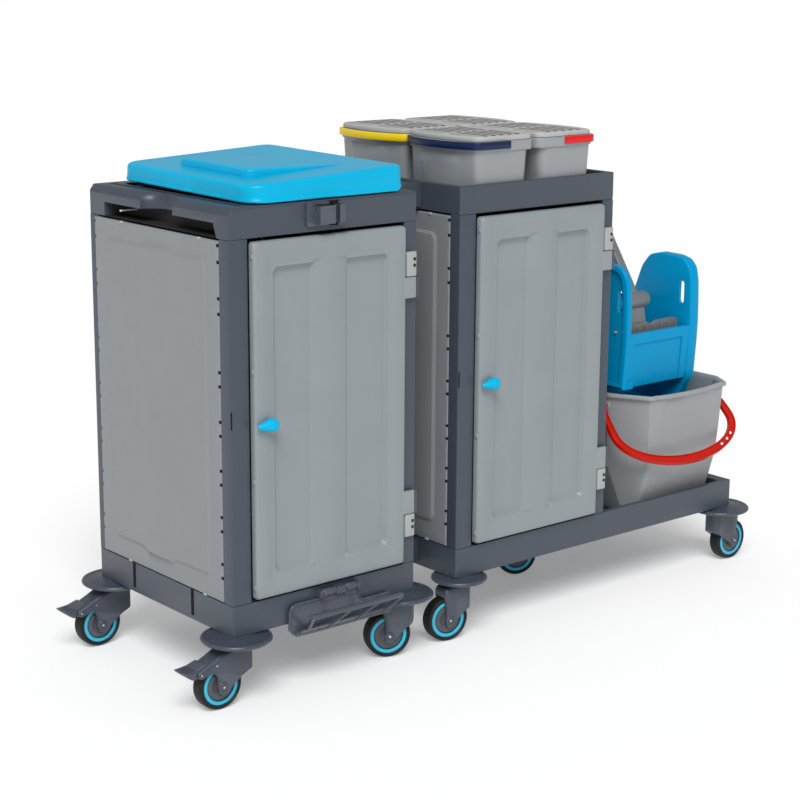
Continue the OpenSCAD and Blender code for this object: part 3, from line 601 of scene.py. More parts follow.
# ------------------------------------------------------------------ doors
def door(xa, xb, px):
    z0, z1 = ZT + 6, ZP - 7
    fx0, fx1, fz0, fz1 = xa + 46, xb - 43, 262, 878
    bx0, bx1, bz0, bz1 = xa + 140, xa + 234, 256, 884
    xm = [xa + 0.4, xa + 1.2, xa + 2.4, xa + 4, xa + 6, xb - 0.4, xb - 1.2, xb - 2.4, xb - 4, xb - 6, bx0, bx1] \
        + span(fx0 - 1, fx0 + 20, 2.1) + span(fx1 - 20, fx1 + 1, 2.1) + span(bx0 - 2, bx0 + 12, 2) \
        + span(bx1 - 12, bx1 + 2, 2) + span(bx0 + 12, bx1 - 12, 8)
    zm = [z0 + 0.4, z0 + 1.2, z0 + 2.4, z0 + 4, z0 + 6, z1 - 0.4, z1 - 1.2, z1 - 2.4, z1 - 4, z1 - 6] \
        + span(bz0 - 1, fz0 + 20, 2.0) + span(fz1 - 20, bz1 + 1, 2.0)
    xs, zs = lines(xa, xb, xm, 8), lines(z0, z1, zm, 24)

    def front(x, z):
        d = -sd_box(x, z, xa, z0, xb, z1, 7)
        h = 9.0
        r = 5.0
        if d < r:
            d2 = max(d, 0.0)
            h -= r - math.sqrt(max(0, r * r - (r - d2) ** 2))
        h += 4.2 * max(0.0, 1 - ((d - 18) / 22) ** 2)
        sd = min(sd_box(x, z, fx0, fz0, fx1, fz1, 17), sd_box(x, z, bx0, bz0, bx1, bz1, 12))
        s = smooth(-sd / 8)
        h -= 9.5 * s
        if bx0 <= x <= bx1:
            q = (x - (bx0 + bx1) / 2) / ((bx1 - bx0) / 2)
            h += (2.6 * smooth(min(x - bx0, bx1 - x) / 3.5) + 6.4 * (1 - q * q)) * s
        return h

    def back(x, z):
        d = -sd_box(x, z, xa, z0, xb, z1, 7)
        s = smooth((d - 12) / 6)
        return -3.6 * (1 - s) + s * (front(x, z) - 4.5)

    def P(x, z, h):
        # rounded outline at the four corners
        cx = min(max(x, xa + 7), xb - 7)
        cz = min(max(z, z0 + 7), z1 - 7)
        dx, dz = x - cx, z - cz
        if dx and dz:
            m_, l_ = max(abs(dx), abs(dz)), math.hypot(dx, dz)
            x, z = cx + dx * m_ / l_, cz + dz * m_ / l_
        return (x, -h, z)
    mm = Mesh()
    mm.add(relief(xs, zs, front, back, P))
    for a, b in ((779, 822), (321, 371)):
        mm.add(rbox((xb - 8, -12, a), (px - 4.4, -3.6, b), 2.2))
        mm.add(rbox((px - 7, -9.4, a + 1), (px, -5.0, b - 1), 1.6), 1)
        mm.add(revolve([(3.1, a + 0.4), (3.5, a + 0.4), (3.9, a + 0.8), (3.9, b - 0.8), (3.5, b - 0.4), (3.1, b - 0.4),
                        (3.1, a + 0.4)], (px, -8, 0), "z", 24), 1)
    # small latch tabs on the closing edge
    for z in (902, 677, 458, 240):
        mm.add(rbox((xa - 2.6, -8.6, z - 5), (xa + 2, -2, z + 5), 0.9, 2))
    return mm


for nm, xa, xb, px in (("waste_door", 50.0, W - 36, W - 6), ("store_door", X2 + 50, XM - 36, XM - 6)):
    piece(nm + "_panel", door(xa, xb, px), [M_DOOR, M_FRAME], nm, [nm], "panel_plastic", sharp=40)


# ------------------------------------------------------------------ knobs
def knob(kx, z=571.0):
    mm = Mesh()
    # teardrop grip: round bulb on the spindle, ridge running out to a point
    st = [(15.0, 1.0, 1.5), (14.2, 5.0, 6.0), (11.5, 9.2, 9.6), (7.0, 13.0, 13.2), (1.0, 14.2, 14.2), (-6, 13.2, 12.8),
          (-13, 10.6, 9.8), (-20, 8.0, 7.6), (-27, 5.4, 5.6), (-32, 3.2, 3.8), (-34, 0.8, 1.0)]
    rings = []
    for x, b, h in st:
        rings.append([(kx + x, -23.4 + p, z + q) for p, q in oval(b, h, 20, 2.2)])
    mm.add(loft(rings))
    mm.add(revolve([(0, -19), (8.8, -19), (9.4, -13.5), (10.4, -11.4), (10.2, -10.6), (5, -10.4), (5, 9), (0, 9)],
                   (kx, 0, z), "y", 28))
    mm.add(rbox((kx - 24, 4.9, z - 7), (kx + 8, 9, z + 7), 1.2, 2))
    return mm


piece("waste_knob_grip", knob(81.0), [M_CYAN], "waste_knob", ["waste_knob"], "cyan_plastic", sharp=50)
piece("store_knob_grip", knob(X2 + 81), [M_CYAN], "store_knob", ["store_knob"], "cyan_plastic", sharp=50)

# ------------------------------------------------------------------ lid
def lid_top(x, y):
    return 1032.4 + 0.045 * (x - 50) + 0.013 * (y - 3)


def lid_ring(ins, rel, z):
    c = fillet([(57 + ins, 3 + ins), (440 - ins, 3 + ins), (440 - ins, 474 - ins), (57 + ins, 474 - ins)],
               [max(r - ins * 0.5, 6) for r in (46, 24, 24, 40)], 12)
    out = []
    for x, y in c:
        if rel:
            out.append((x, y, lid_top(x, y) + z))
        else:
            # the skirt is cut away over the hinge
            out.append((x, y, z + 0.013 * (y - 3) + (5.6 * smooth((x - 418) / 10) if z < 1012 else 0)))
    return out


mm = Mesh()
PROF = [(70, 1, -6), (14, 1, -6.2), (8, 1, -10), (5.6, 0, 1001), (4.6, 0, 998.2), (2.2, 0, 997.8), (0.6, 0, 998.2), (0.0, 0, 999.4),
        (0.0, 0, 1001.6), (0.5, 0, 1002.6), (1.2, 0, 1003.4), (1.7, 0, 1012), (2.1, 1, -9), (2.5, 1, -6.4), (3.6, 1, -3.8), (5.6, 1, -1.8),
        (8.2, 1, -0.6), (11.6, 1, -0.1), (16, 1, 0), (70, 1, 0)]
mm.add(loft([lid_ring(*q) for q in PROF]))
# level pad in the middle of the sloping top
rings = []
for ins, rel, z in ((0, 1, -3), (0, 1, 0.2), (0.3, 0, -6.5), (0.8, 0, -3.4), (2.0, 0, -1.5), (4.0, 0, -0.4), (7, 0, 0), (60, 0, 0)):
    r = max(24 - ins * 0.5, 4)
    rings.append([(x, y, lid_top(x, y) + z if rel else max(1047.6 + 0.019 * (365 - x) + 0.013 * (y - 99) + z, lid_top(x, y) + 0.3 + ins * 0.04))
                  for x, y in rrect(118 + ins, 99 + ins, 365 - ins, 350 - ins, r, 8)])
mm.add(loft(rings))
for s0, s1 in ((120, 160), (340, 380)):
    mm.add(rbox((421, s0, 997.9), (440, s1, 1003.6), 1.2, 2))
    mm.add(revolve([(2.7, s0), (4.0, s0), (4.4, s0 + 0.5), (4.4, s1 - 0.5), (4.0, s1), (2.7, s1), (2.7, s0)],
                   (440, 0, 1000), "y", 24))
# finger grips under the edge of the handle side
for y in (123, 217):
    z = 998.3 + 0.013 * y
    mm.add(rbox((54.2, y - 15, z), (60, y + 15, z + 5.5), 2.2, 3))
piece("waste_lid_shell", mm, [M_CYAN], "waste_lid", ["waste_lid"], "cyan_plastic", sharp=45)

# ------------------------------------------------------------------ tool holder
mm = Mesh()
th = Mesh()
pl = fillet([(392, 160), (316, 160), (305, 186), (144, 186), (130, 172), (130, 131), (150, 118), (392, 118)],
            [3, 8, 8, 16, 14, 10, 8, 3], 5)
mm.add(prism(pl, "y", -8.6, -4.4))
# raised rim along the top and the left end
rim = [(390, -8.0, 158.6), (318, -8.0, 158.8), (311, -8.0, 165), (305, -8.0, 181), (299, -8.0, 184.4), (148, -8.0, 184.4), (138, -8.0, 181), (132.5, -8.0, 172.5), (132, -8.4, 150), (132.6, -9.4, 134),
       (139, -11, 124)]
mm.add(sweep(rim, oval(3.0, 2.6, 10), (0, -1, 0)))
# bars of the cradle: low bar, high front bar, end bar and the slanting ribs between the windows
bar = oval(5.2, 5.2, 12, 3.0)


def cradle(t, x):
    return (x, -9.5 - 43 * t, 121.5 + 44.5 * t)


mm.add(sweep([(146, -9.5, 122.5), (200, -9.5, 121.5), (290, -9.5, 121.5), (390, -9.5, 121.5)], bar, (0, 0, 1)))
mm.add(sweep([(154, -52, 168.5), (158, -52, 168.5), (165, -52, 168), (300, -52, 166), (390, -52, 166)], oval(4.6, 5.4, 12, 3.2), (0, 0, 1)))
mm.add(sweep([(172, -8.5, 121), (169.5, -20, 132.6), (163, -38, 150.8), (158, -49, 163), (156, -53.5, 168)], oval(4.4, 4.4, 12, 3.2),
             (1, 0, 0)))
for xa, xb in ((224, 250), (296, 322), (368, 388)):
    mm.add(sweep([cradle(t, xa + (xb - xa) * t) for t in (0, 0.33, 0.66, 1)], oval(6.6, 3.4, 12, 3.2), (0, -0.7, 0.7)))
# inner web behind the low bar
mm.add(prism([(-7, 119), (-14, 120), (-24, 132), (-22, 134), (-12, 124), (-7, 124)], "x", 152, 389))
for s in ((211.9, 245.1), (271.4, 299.1)):
    mm.add(revolve([(4.2, s[0]), (7.6, s[0]), (8.4, s[0] + 0.8), (8.4, s[1] - 0.8), (7.6, s[1]), (4.2, s[1]),
                    (4.2, s[0])], (0, -10, 196), "x", 24))
    mm.add(rbox((s[0], -12, 178), (s[1], -4.4, 192), 1.6, 2))
piece("tool_holder_cradle", mm, [M_FORK], "tool_holder", ["tool_holder"], "frame_plastic", sharp=45)


# ------------------------------------------------------------------ castors
def local(k):
    a = math.radians(CTURN[k])
    c, s = math.cos(a), math.sin(a)
    x0, y0 = CPOS[k]
    return lambda p: (x0 + p[0] * c - p[1] * s, y0 + p[0] * s + p[1] * c, p[2])


def fork(t, braked):
    xb = -112 if braked else -t - 22
    plan = [(31 * math.cos(math.radians(a)), 31 * math.sin(math.radians(a))) for a in
            [-60 + 120 * i / 18 for i in range(19)]] + [(xb, 27), (xb, -27)]
    if braked:
        side = [(33, 128), (33, 92), (24, 77), (0, 66), (-24, 50), (-t + 10, 36), (-t, 32.5), (-t - 9, 36.5), (-t - 12, 48), (-62, 78), (-75, 86),
                (-93, 79.5), (-103, 77.5), (-108, 86), (-104, 93.5), (-80, 104), (-64, 111), (-44, 121), (-20, 128)]
        fr = [2, 16, 14, 20, 30, 8, 9, 9, 8, 14, 12, 16, 9, 9, 9, 40, 40, 40, 30]
        down, fore = (0, 14, 15, 16, 17, 18), (13,)
    else:
        side = [(33, 128), (33, 92), (25, 76), (6, 64), (-t + 11, 42), (-t + 5, 35), (-t, 33.5), (-t - 6, 35), (-t - 10, 43), (-t - 10, 58),
                (-t - 9, 76), (-t - 15, 102), (-t - 15, 112), (-t - 9, 122), (-20, 128)]
        fr = [2, 16, 14, 18, 14, 5, 5, 5, 8, 20, 30, 10, 8, 8, 12]
        down, fore = (0, 13, 14), (9, 10, 11, 12)

    def ring(y, d):
        # towards the cheeks the hood curves down
        p = [(x + (0.7 * d if i in fore else 0), z - (d if i in down else 0)) for i, (x, z) in enumerate(side)]
        return [(x, y, z) for x, z in fillet(p, fr, 5, True)]
    arch = ((14, 0.0), (17, 0.7), (19.5, 2.0), (21.5, 4.0), (22.8, 6.4), (23.5, 9.6))
    body = loft([ring(-y, d) for y, d in arch[::-1]] + [ring(y, d) for y, d in arch])
    ops = [("&", prism(plan, "z", 20, 129)),
           ("-", revolve([(0, -17.5), (53.5, -17.5), (53.5, 17.5), (0, 17.5)], (-t, 0, 50), "y", 40))]
    if braked:
        ops.append(("-", box((-125, -17.6, 60), (-84, 17.6, 130))))
    return solid(body, ops)


FORK = {(t, b): fork(t, b) for t, b in ((48, True), (28, False), (36, False))}
for k in range(9):
    P = local(k)
    br, T = k in (0, 2), TRAIL[k]
    mm = Mesh()
    mm.add(FORK[(T, br)], 0, P)
    mm.add(revolve([(6, 127), (28, 127), (30, 128), (30.6, 130), (29.6, 132), (26, 132.4), (6, 132.4), (6, 172), (0, 173)],
                   (0, 0, 0), "z", 36), 0, P)
    for s in (-1, 1):
        mm.add(revolve([(0, s * 20), (10.5, s * 20), (10.5, s * 23.9), (9.8, s * 24.7), (8.2, s * 24.9), (7.8, s * 24.2),
                        (0, s * 24.2)], (-T, 0, 50), "y", 28), 0, P)
        mm.add(revolve([(0, s * 24), (2.6, s * 24), (2.6, s * 25.4), (1.8, s * 26.0), (0, s * 26.2)], (-T, 0, 50), "y",
                       20), 1, P)
    mm.add(revolve([(0, -23), (3.9, -23), (3.9, 23), (0, 23)], (-T, 0, 50), "y", 20), 1, P)
    if br:
        for px, pz, y0 in ((-63, 98, -17.8), (-63, 98, 17.8), (-99, 86, -17.0), (-99, 86, 17.0)):
            s = 1 if y0 > 0 else -1
            mm.add(revolve([(0, y0), (1.9, y0), (1.9, s * 23.6), (1.4, s * 24.3), (0, s * 24.4)], (px, 0, pz), "y", 16), 1, P)
        mm.add(revolve([(0, -23), (2.9, -23), (2.9, 23), (0, 23)], (-99, 0, 86), "y", 18), 1, P)
    piece("castor_fork_%d_body" % (k + 1), mm, [M_FORK, M_BRIGHT], "castor_%d" % (k + 1), ["castor_fork_%d" % (k + 1)],
          "frame_plastic", bevel=1.8, seg=3, bang=40)

    # painted shade: material 2 paints the narrow bands either side of the cyan ring dark navy
    half = [(4.1, 14.2, 3), (8, 14.2, 3), (8.8, 13.4, 3), (12, 12.7, 3), (20, 12.7, 3), (21, 13.3, 3), (24, 13.3, 3),
            (25, 12.7, 3), (29.6, 12.7, 3), (30.2, 12.0, 2), (32.0, 12.0, 2), (32.6, 13.4, 1), (33.6, 14.1, 1), (39.2, 14.1, 1),
            (40.0, 13.2, 2), (41.8, 12.8, 2), (42.4, 14.0, 0), (43.4, 14.8, 0), (45.4, 15.0, 0),
            (47.4, 14.4, 0), (49.0, 12.6, 0), (49.8, 9.6, 0), (50, 5.5, 0)]
    prof = [(r, -h) for r, h, _ in half] + [(r, h) for r, h, _ in half[::-1]] + [(4.1, -14.2)]
    one = [c for _, _, c in half][:-1]
    mats = one + [0] + one[::-1] + [3]
    rings = [[(-T + r * math.cos(2 * math.pi * i / 48), h, 50 + r * math.sin(2 * math.pi * i / 48)) for i in range(48)]
             for r, h in prof]
    v, f = loft(rings, False, False)
    ml = [mats[j] for j in range(len(prof) - 1) for _ in range(48)]
    mm = Mesh()
    mm.add((v, f, ml), 0, P)
    piece("castor_wheel_%d_tread" % (k + 1), mm, [M_TYRE, M_RING, M_RING_EDGE_SHADE, M_HUB], "wheel_%d" % (k + 1),
          ["castor_wheel_%d" % (k + 1)], "tyre", sharp=50)

for n, k in ((1, 0), (2, 2)):
    P = local(k)
    mm = Mesh()
    # knuckle on the pin, between the cheeks
    kn = fillet([(-86, 106), (-86, 101), (-90, 91), (-94, 82), (-104, 79), (-116, 80), (-116, 97.5), (-102, 101.5)],
                [2, 2, 4, 4, 4, 1, 1, 6], 4)
    mm.add(solid(prism(kn, "y", -16.9, 16.9),
                 [("-", revolve([(0, -18), (3.1, -18), (3.1, 18), (0, 18)], (-99, 0, 86), "y", 20))]), 0, P)
    # treadle that flares out behind the fork
    st = [(-110.4, 98.6, 79.0, 20.6), (-111.2, 99.2, 77.8, 21.8), (-114, 99.0, 77.4, 22.4), (-119, 98.0, 79.6, 22.4), (-126, 97.4, 84.6, 21.4),
          (-132, 97.8, 89.4, 19.2), (-137, 99.0, 93.4, 16), (-140.6, 100.2, 96.4, 11.4), (-142.4, 100.9, 98.4, 7), (-143, 100.8, 99.4, 3)]
    mm.add(loft([[(x, a, (zt + zb) / 2 + b) for a, b in oval(hw, (zt - zb) / 2, 28, 5.0)] for x, zt, zb, hw in st]), 0, P)
    # ridges on the treadle
    for x, z, hw in ((-117, 98.6, 15), (-122, 97.9, 15), (-127, 97.6, 14), (-132, 98.0, 12)):
        mm.add(rbox((x - 1.2, -hw, z - 1.4), (x + 1.2, hw, z + 0.9), 0.8, 2), 0, P)
    piece("brake_pedal_%d_treadle" % n, mm, [M_FORK], "pedal_%d" % n, ["brake_pedal_%d" % n], "frame_plastic", sharp=45)

# ------------------------------------------------------------------ small buckets
SU, SV, SR, SBOW, BBOW = 170.0, 228.0, 22.0, 12.0, 20.0
SZ0, SRIM, SPU, SPZ = 940.3, 1081.0, 86.0, 1073.0


def sb(i, n=6, nb=31, swell=None, w=SBOW, su=SU):
    """Plan outline, i in from the rim's edge; the side at u = 0 is bowed out."""
    r = SR - i * 0.4
    h, b = SV / 2 - i - r / 2, w + 0.134 * r

    def arc(cx, cy, a0, a1):
        return [(cx + r * math.cos(math.radians(a0 + (a1 - a0) * k / n)), cy + r * math.sin(math.radians(a0 + (a1 - a0) * k / n)))
                for k in range(n + 1)]
    out = arc(su - i - r, SV - i - r, 0, 90) + arc(i + r, SV - i - r, 90, 150)
    for k in range(1, nb + 1):
        q = 1 - 2 * k / (nb + 1)
        u = i + 0.134 * r - b * (1 - q * q)
        if swell:
            u -= swell(q)
        out.append((u, SV / 2 + q * h))
    return out + arc(i + r, i + r, 210, 270) + arc(su - i - r, i + r, 270, 360)


def sb_open(i, n=6, nb=31):
    p = sb(i, n, nb, w=BBOW)
    return [(SPU + 7, SV - i)] + p[n + 1:len(p) - n - 1] + [(SPU + 7, i)]


def sb_place(i):
    ox, oy = (X2 + 50, X2 + 51, X2 + 399, X2 + 403)[i], (8.0, 247.0)[i % 2]
    sx = 1 if i < 2 else -1
    return lambda p: (ox + sx * p[0], oy + p[1], p[2])


BAND = [M_NAVY, M_YELLOW, M_BRED, M_GREEN]
BSLOT = ["navy_plastic", "yellow_plastic", "red_plastic", "green_plastic"]
for i in range(4):
    P = sb_place(i)
    prof = [(13, SZ0 + 4.4, 1), (12.4, SZ0 + 6, 1), (8.2, SRIM - 20, 1), (8.0, SRIM - 19, 1), (7.8, SRIM - 18.8, 0), (7.4, SRIM - 3, 0),
            (6.4, SRIM - 0.7, 0), (5.0, SRIM - 0.1, 0), (2.0, SRIM - 0.1, 0), (0.6, SRIM - 0.8, 0), (0.0, SRIM - 2.2, 0),
            (0.0, SRIM - 19.4, 0), (0.5, SRIM - 21, 0), (2.0, SRIM - 21.8, 0), (3.0, SRIM - 22.0, 1), (3.3, SRIM - 23.4, 1), (3.5, SRIM - 28, 1),
            (3.7, SRIM - 31, 1), (4.6, SRIM - 50, 1), (6.0, SRIM - 85, 1), (7.8, SZ0 + 12, 1), (8.6, SZ0 + 5, 1), (10, SZ0 + 1.6, 1), (13, SZ0, 1)]
    mm = Mesh()
    rings = []
    for j, (ins, z, wall) in enumerate(prof):
        sw = None
        if 17 <= j <= 20:
            w = 0.62 - 0.2 * (SRIM - 30 - z) / 100
            sw = lambda q, w=w: 2.2 * smooth((w - abs(q)) / 0.07 + 0.5)
        rings.append([(x, y, z) for x, y in sb(ins, swell=sw, su=SU - 10 * wall)])
    mm.add(loft(rings), 0, P)
    piece("small_bucket_%d_shell" % (i + 1), mm, [M_BUCKET], "bucket_%d" % (i + 1), ["small_bucket_%d" % (i + 1)],
          "bucket_plastic", sharp=45)

    mm = Mesh()
    prof = [(50, SRIM + 4.5), (13, SRIM + 4.5), (12.5, SRIM - 9.4), (12, SRIM - 10), (10.2, SRIM - 10), (9.6, SRIM - 9.4),
            (9.4, SRIM + 0.5), (3.4, SRIM + 0.5), (2.3, SRIM + 1.0), (2.0, SRIM + 2.2), (2.0, SRIM + 7.0), (2.5, SRIM + 9.0),
            (3.8, SRIM + 10.4), (5.8, SRIM + 11.1), (9, SRIM + 11.3), (10.6, SRIM + 11.0), (11.4, SRIM + 10.2),
            (12.2, SRIM + 9.4), (14, SRIM + 9.2), (50, SRIM + 9.2)]
    mm.add(loft([[(x, y, z) for x, y in sb(ins)] for ins, z in prof]), 0, P)
    # long ribs either side of a cross band; the groove floors between them are painted dark as painted shade
    for k in range(6):
        u = 26 + k * 23.0
        for v0, v1 in ((19, 105), (123, 209)):
            mm.add(rbox((u - 5.8, v0 - 5, SRIM + 7), (u + 5.8, v1 + 3, SRIM + 12.0), 0.5, 2), 0, P)
            if k < 5:
                mm.add(box((u + 5.6, v0 - 4, SRIM + 8), (u + 17.4, v1 + 2, SRIM + 11.65)), 1, P)
    mm.add(rbox((6, 108, SRIM + 7), (154, 120, SRIM + 11.9), 1.4, 2), 0, P)
    piece("bucket_lid_%d_top" % (i + 1), mm, [M_LIDG, M_LID_GROOVE_SHADE], "lid_%d" % (i + 1), ["bucket_lid_%d" % (i + 1)], "bucket_plastic",
          sharp=45)

    mm = Mesh()
    z0, z1 = SRIM - 16, SRIM
    sec = [(-5, z0 + 1.4), (-5, z1 - 1.4), (-4.4, z1 - 0.4), (-3.6, z1), (-2.2, z1), (-1.2, z1 - 0.6), (-1, z1 - 1.4),
           (-1, z0 + 1.4), (-1.2, z0 + 0.6), (-2.2, z0), (-3.6, z0), (-4.4, z0 + 0.4)]
    cols = [[(x, y, z) for x, y in sb_open(ins)] for ins, z in sec]
    mm.add(loft([[c[j] for c in cols] for j in range(len(cols[0]))]), 0, P)
    for y0, y1, s in ((-5.2, -1, 1), (SV + 5.2, SV + 1, -1)):
        mm.add(revolve([(0, y0 + 0.3 * s), (5.6, y0 + 0.3 * s), (6.7, y0 + 0.8 * s), (7, y0 + 1.3 * s), (7, y1 - 0.6 * s), (6.4, y1), (3, y1),
                        (3, y1 + 7 * s), (0, y1 + 7 * s)], (SPU, 0, SPZ), "y", 28), 0, P)
    piece("bucket_bail_%d_band" % (i + 1), mm, [BAND[i]], "bail_%d" % (i + 1), ["bucket_bail_%d" % (i + 1)], BSLOT[i],
          sharp=45)

# ------------------------------------------------------------------ mop bucket and bail
MX, MY, MZ0, MRIM, MH, MV = 1310.0, 165.0, 165.3, 462.0, 176.0, 177.0


def octo(hx, hy, cx, cy, r=16, fy=None, n=5, q=0.62):
    y0 = MY - hy if fy is None else fy
    return fillet([(MX - hx + cx, y0), (MX + hx - cx * q, y0 + 3), (MX + hx, y0 + cy * q), (MX + hx, MY + hy - cy),
                   (MX + hx - cx, MY + hy), (MX - hx + cx, MY + hy), (MX - hx, MY + hy - cy), (MX - hx, y0 + cy)], r, n)


def subdivide(ring, step):
    out = []
    for a, b in zip(ring, ring[1:] + ring[:1]):
        k = max(1, int(round(math.hypot(b[0] - a[0], b[1] - a[1]) / step)))
        out += [(a[0] + (b[0] - a[0]) * i / k, a[1] + (b[1] - a[1]) * i / k) for i in range(k)]
    return out


def mop_ring(t, off, lip=0.0):
    """t: 0 at the floor, 1 at the rim; off: in from the outer face."""
    q = smooth((t - 0.36) / 0.10) if t > 0.36 else 0.0
    hx = (162 + 8 * (t - 0.42) / 0.58 if t > 0.42 else 133 + 29 * t / 0.42) - off
    hy = (158 + 13 * (t - 0.42) / 0.58 if t > 0.42 else 125 + 33 * t / 0.42) - off
    c = min(1.0, t / 0.42)
    cx, cy = 16 + 34 * c, 28 + 62 * c
    fy = MY - hy + 7 * t
    ring = octo(hx, hy, cx, cy, max(5, 9 - off * 0.4), fy, 4)
    # constant count along the straight runs
    out = []
    for k in range(8):
        arc = ring[k * 5:(k + 1) * 5]
        nxt = ring[((k + 1) * 5) % 40]
        out += arc
        steps = 44 if k == 0 else 4
        for j in range(1, steps):
            u = j / steps
            out.append((arc[-1][0] + (nxt[0] - arc[-1][0]) * u, arc[-1][1] + (nxt[1] - arc[-1][1]) * u))
    res = []
    for x, y in out:
        if y < MY - hy + 7 * t + 30 and 1196 < x < 1424:
            u = (x - 1310) / 106
            s = max(0.0, 1 - u * u)
            wdt = max(0.0, (t - 0.50) / 0.50)
            e = s ** 0.8 * wdt ** 1.1
            y -= 13.5 * e
            y += 3.2 * smooth((27 - abs(x - 1262)) / 6 + 0.5) * min(1.0, 1.6 * wdt) * (1 if t < 0.955 else 0)
        res.append((x, y))
    return res


mm = Mesh()
zs = lambda t: MZ0 + (MRIM - MZ0) * t
prof = [(0.016, 5.0), (0.03, 4.2)] + [(0.1 * k, 4.0) for k in range(1, 10)] + [(0.96, 4.0), (0.985, 3.0), (0.998, 0.6),
        (1.0, -1.6), (0.996, -4.0), (0.988, -5.6), (0.976, -6.0), (0.966, -5.4), (0.960, -3.6), (0.957, -0.6), (0.952, 0.0)] \
    + [(0.9 - 0.06 * k, 0.0) for k in range(0, 9)] + [(0.36, 0.0), (0.3, 0.0), (0.2, 0.0), (0.1, 0.0), (0.02, 0.3), (0.006, 1.6),
        (0.0, 5.0)]
rings = []
for t, off in prof:
    rings.append([(x, y, zs(t)) for x, y in mop_ring(t, off)])
mm.add(loft(rings))
for s in (-1, 1):
    mm.add(revolve([(0, s * (MH - 10)), (5, s * (MH - 10)), (5, s * (MH + 6.4)), (4.4, s * (MH + 7)), (0, s * (MH + 7))],
                   (MX, 100, 430), "x", 22))
    mm.add(revolve([(4, s * (MH - 9.4)), (13, s * (MH - 9.4)), (13, s * (MH - 5)), (12, s * (MH - 4.2)), (4, s * (MH - 4.2)),
                    (4, s * (MH - 9.4))], (MX, 100, 430), "x", 26))
piece("mop_bucket_shell", mm, [M_BUCKET], "mop_bucket", ["mop_bucket"], "bucket_plastic", sharp=40)

c45 = math.sqrt(0.5)


def bow(a, up, low):
    t0 = -math.asin(90 / up)
    h = [(a * math.cos(t0 * (1 - k / 10)), 90 + up * math.sin(t0 * (1 - k / 10))) for k in range(10)] + \
        [(a * math.cos(math.radians(k * 5)), 90 + low * math.sin(math.radians(k * 5))) for k in range(0, 18)]
    return h + [(0.0, 90 + low)] + [(-x, w) for x, w in h[::-1]]


def bail_pt(x, w, n):
    return (MX + x, 100 - c45 * w - c45 * n, 430 - c45 * w + c45 * n)


# wide band with a channel along its upper face
mm = Mesh()
rings = []
for (ox, ow), (ix, iw) in zip(bow(MH + 33, 200, 104), bow(MH + 14, 230, 82)):
    w = math.hypot(ix - ox, iw - ow)
    ex, ew = (ix - ox) / w, (iw - ow) / w
    g = min(3.6, w * 0.3)
    sec = [(1, -6), (w - 1, -6), (w, -5), (w, 5), (w - 1, 6), (w - g + 0.8, 6), (w - g, 3.2), (g, 3.2), (g - 0.8, 6), (1, 6), (0, 5), (0, -5)]
    rings.append([bail_pt(ox + ex * a, ow + ew * a, n) for a, n in sec])
mm.add(loft(rings))
# three light eyelets in the channel
O, I = bow(MH + 33, 200, 104), bow(MH + 14, 230, 82)
for k in (17, 19, 21):
    mx_, mw_ = (O[k][0] + I[k][0]) / 2, (O[k][1] + I[k][1]) / 2
    tx, tw = O[k + 1][0] - O[k - 1][0], O[k + 1][1] - O[k - 1][1]
    l_ = math.hypot(tx, tw)
    tx, tw = tx / l_, tw / l_
    mm.add(loft([[bail_pt(mx_ + tx * a - tw * b, mw_ + tw * a + tx * b, n) for a, b in oval(5.0 * f, 3.0 * f, 14)]
                 for n, f in ((2.0, 1.0), (3.7, 1.0), (4.1, 0.8))]), 1)
for s in (-1, 1):
    mm.add(revolve([(5.3, s * (MH - 3)), (10.4, s * (MH - 3)), (11, s * (MH - 2.2)), (11, s * (MH + 8.2)), (10.4, s * (MH + 9)),
                    (5.3, s * (MH + 9)), (5.3, s * (MH - 3))], (MX, 100, 430), "x", 28))
piece("mop_bail_band", mm, [M_RED, M_ROD], "mop_bail", ["mop_bail"], "red_plastic", sharp=38)

# ------------------------------------------------------------------ wringer
WX0, WX1 = MX - 154, MX + 74
CH = [(50, 474), (44, 560), (42, 610), (43, 666), (45, 708), (52, 742), (70, 760), (96, 766), (150, 767), (182, 759), (206, 730),
      (228, 672), (243, 600), (245.5, 474)]
CHF = fillet(CH, [1, 80, 80, 80, 60, 30, 26, 40, 40, 30, 60, 80, 80, 1], 5)
LOW = [(82, 400), (72, 455), (70, 463.2), (50, 474), (49, 492), (245.5, 492), (245.5, 474), (240, 400)]


def inset(poly, d):
    out, k = [], len(poly)
    area = sum(poly[i][0] * poly[(i + 1) % k][1] - poly[(i + 1) % k][0] * poly[i][1] for i in range(k))
    s = 1 if area > 0 else -1
    for i in range(k):
        p0, p1, p2 = Vector(poly[i - 1]), Vector(poly[i]), Vector(poly[(i + 1) % k])
        a, b = (p1 - p0).normalized(), (p2 - p1).normalized()
        n1, n2 = Vector((-a[1], a[0])) * s, Vector((-b[1], b[0])) * s
        n = (n1 + n2).normalized()
        out.append(tuple(p1 + n * (d / max(0.5, n.dot(n1)))))
    return out


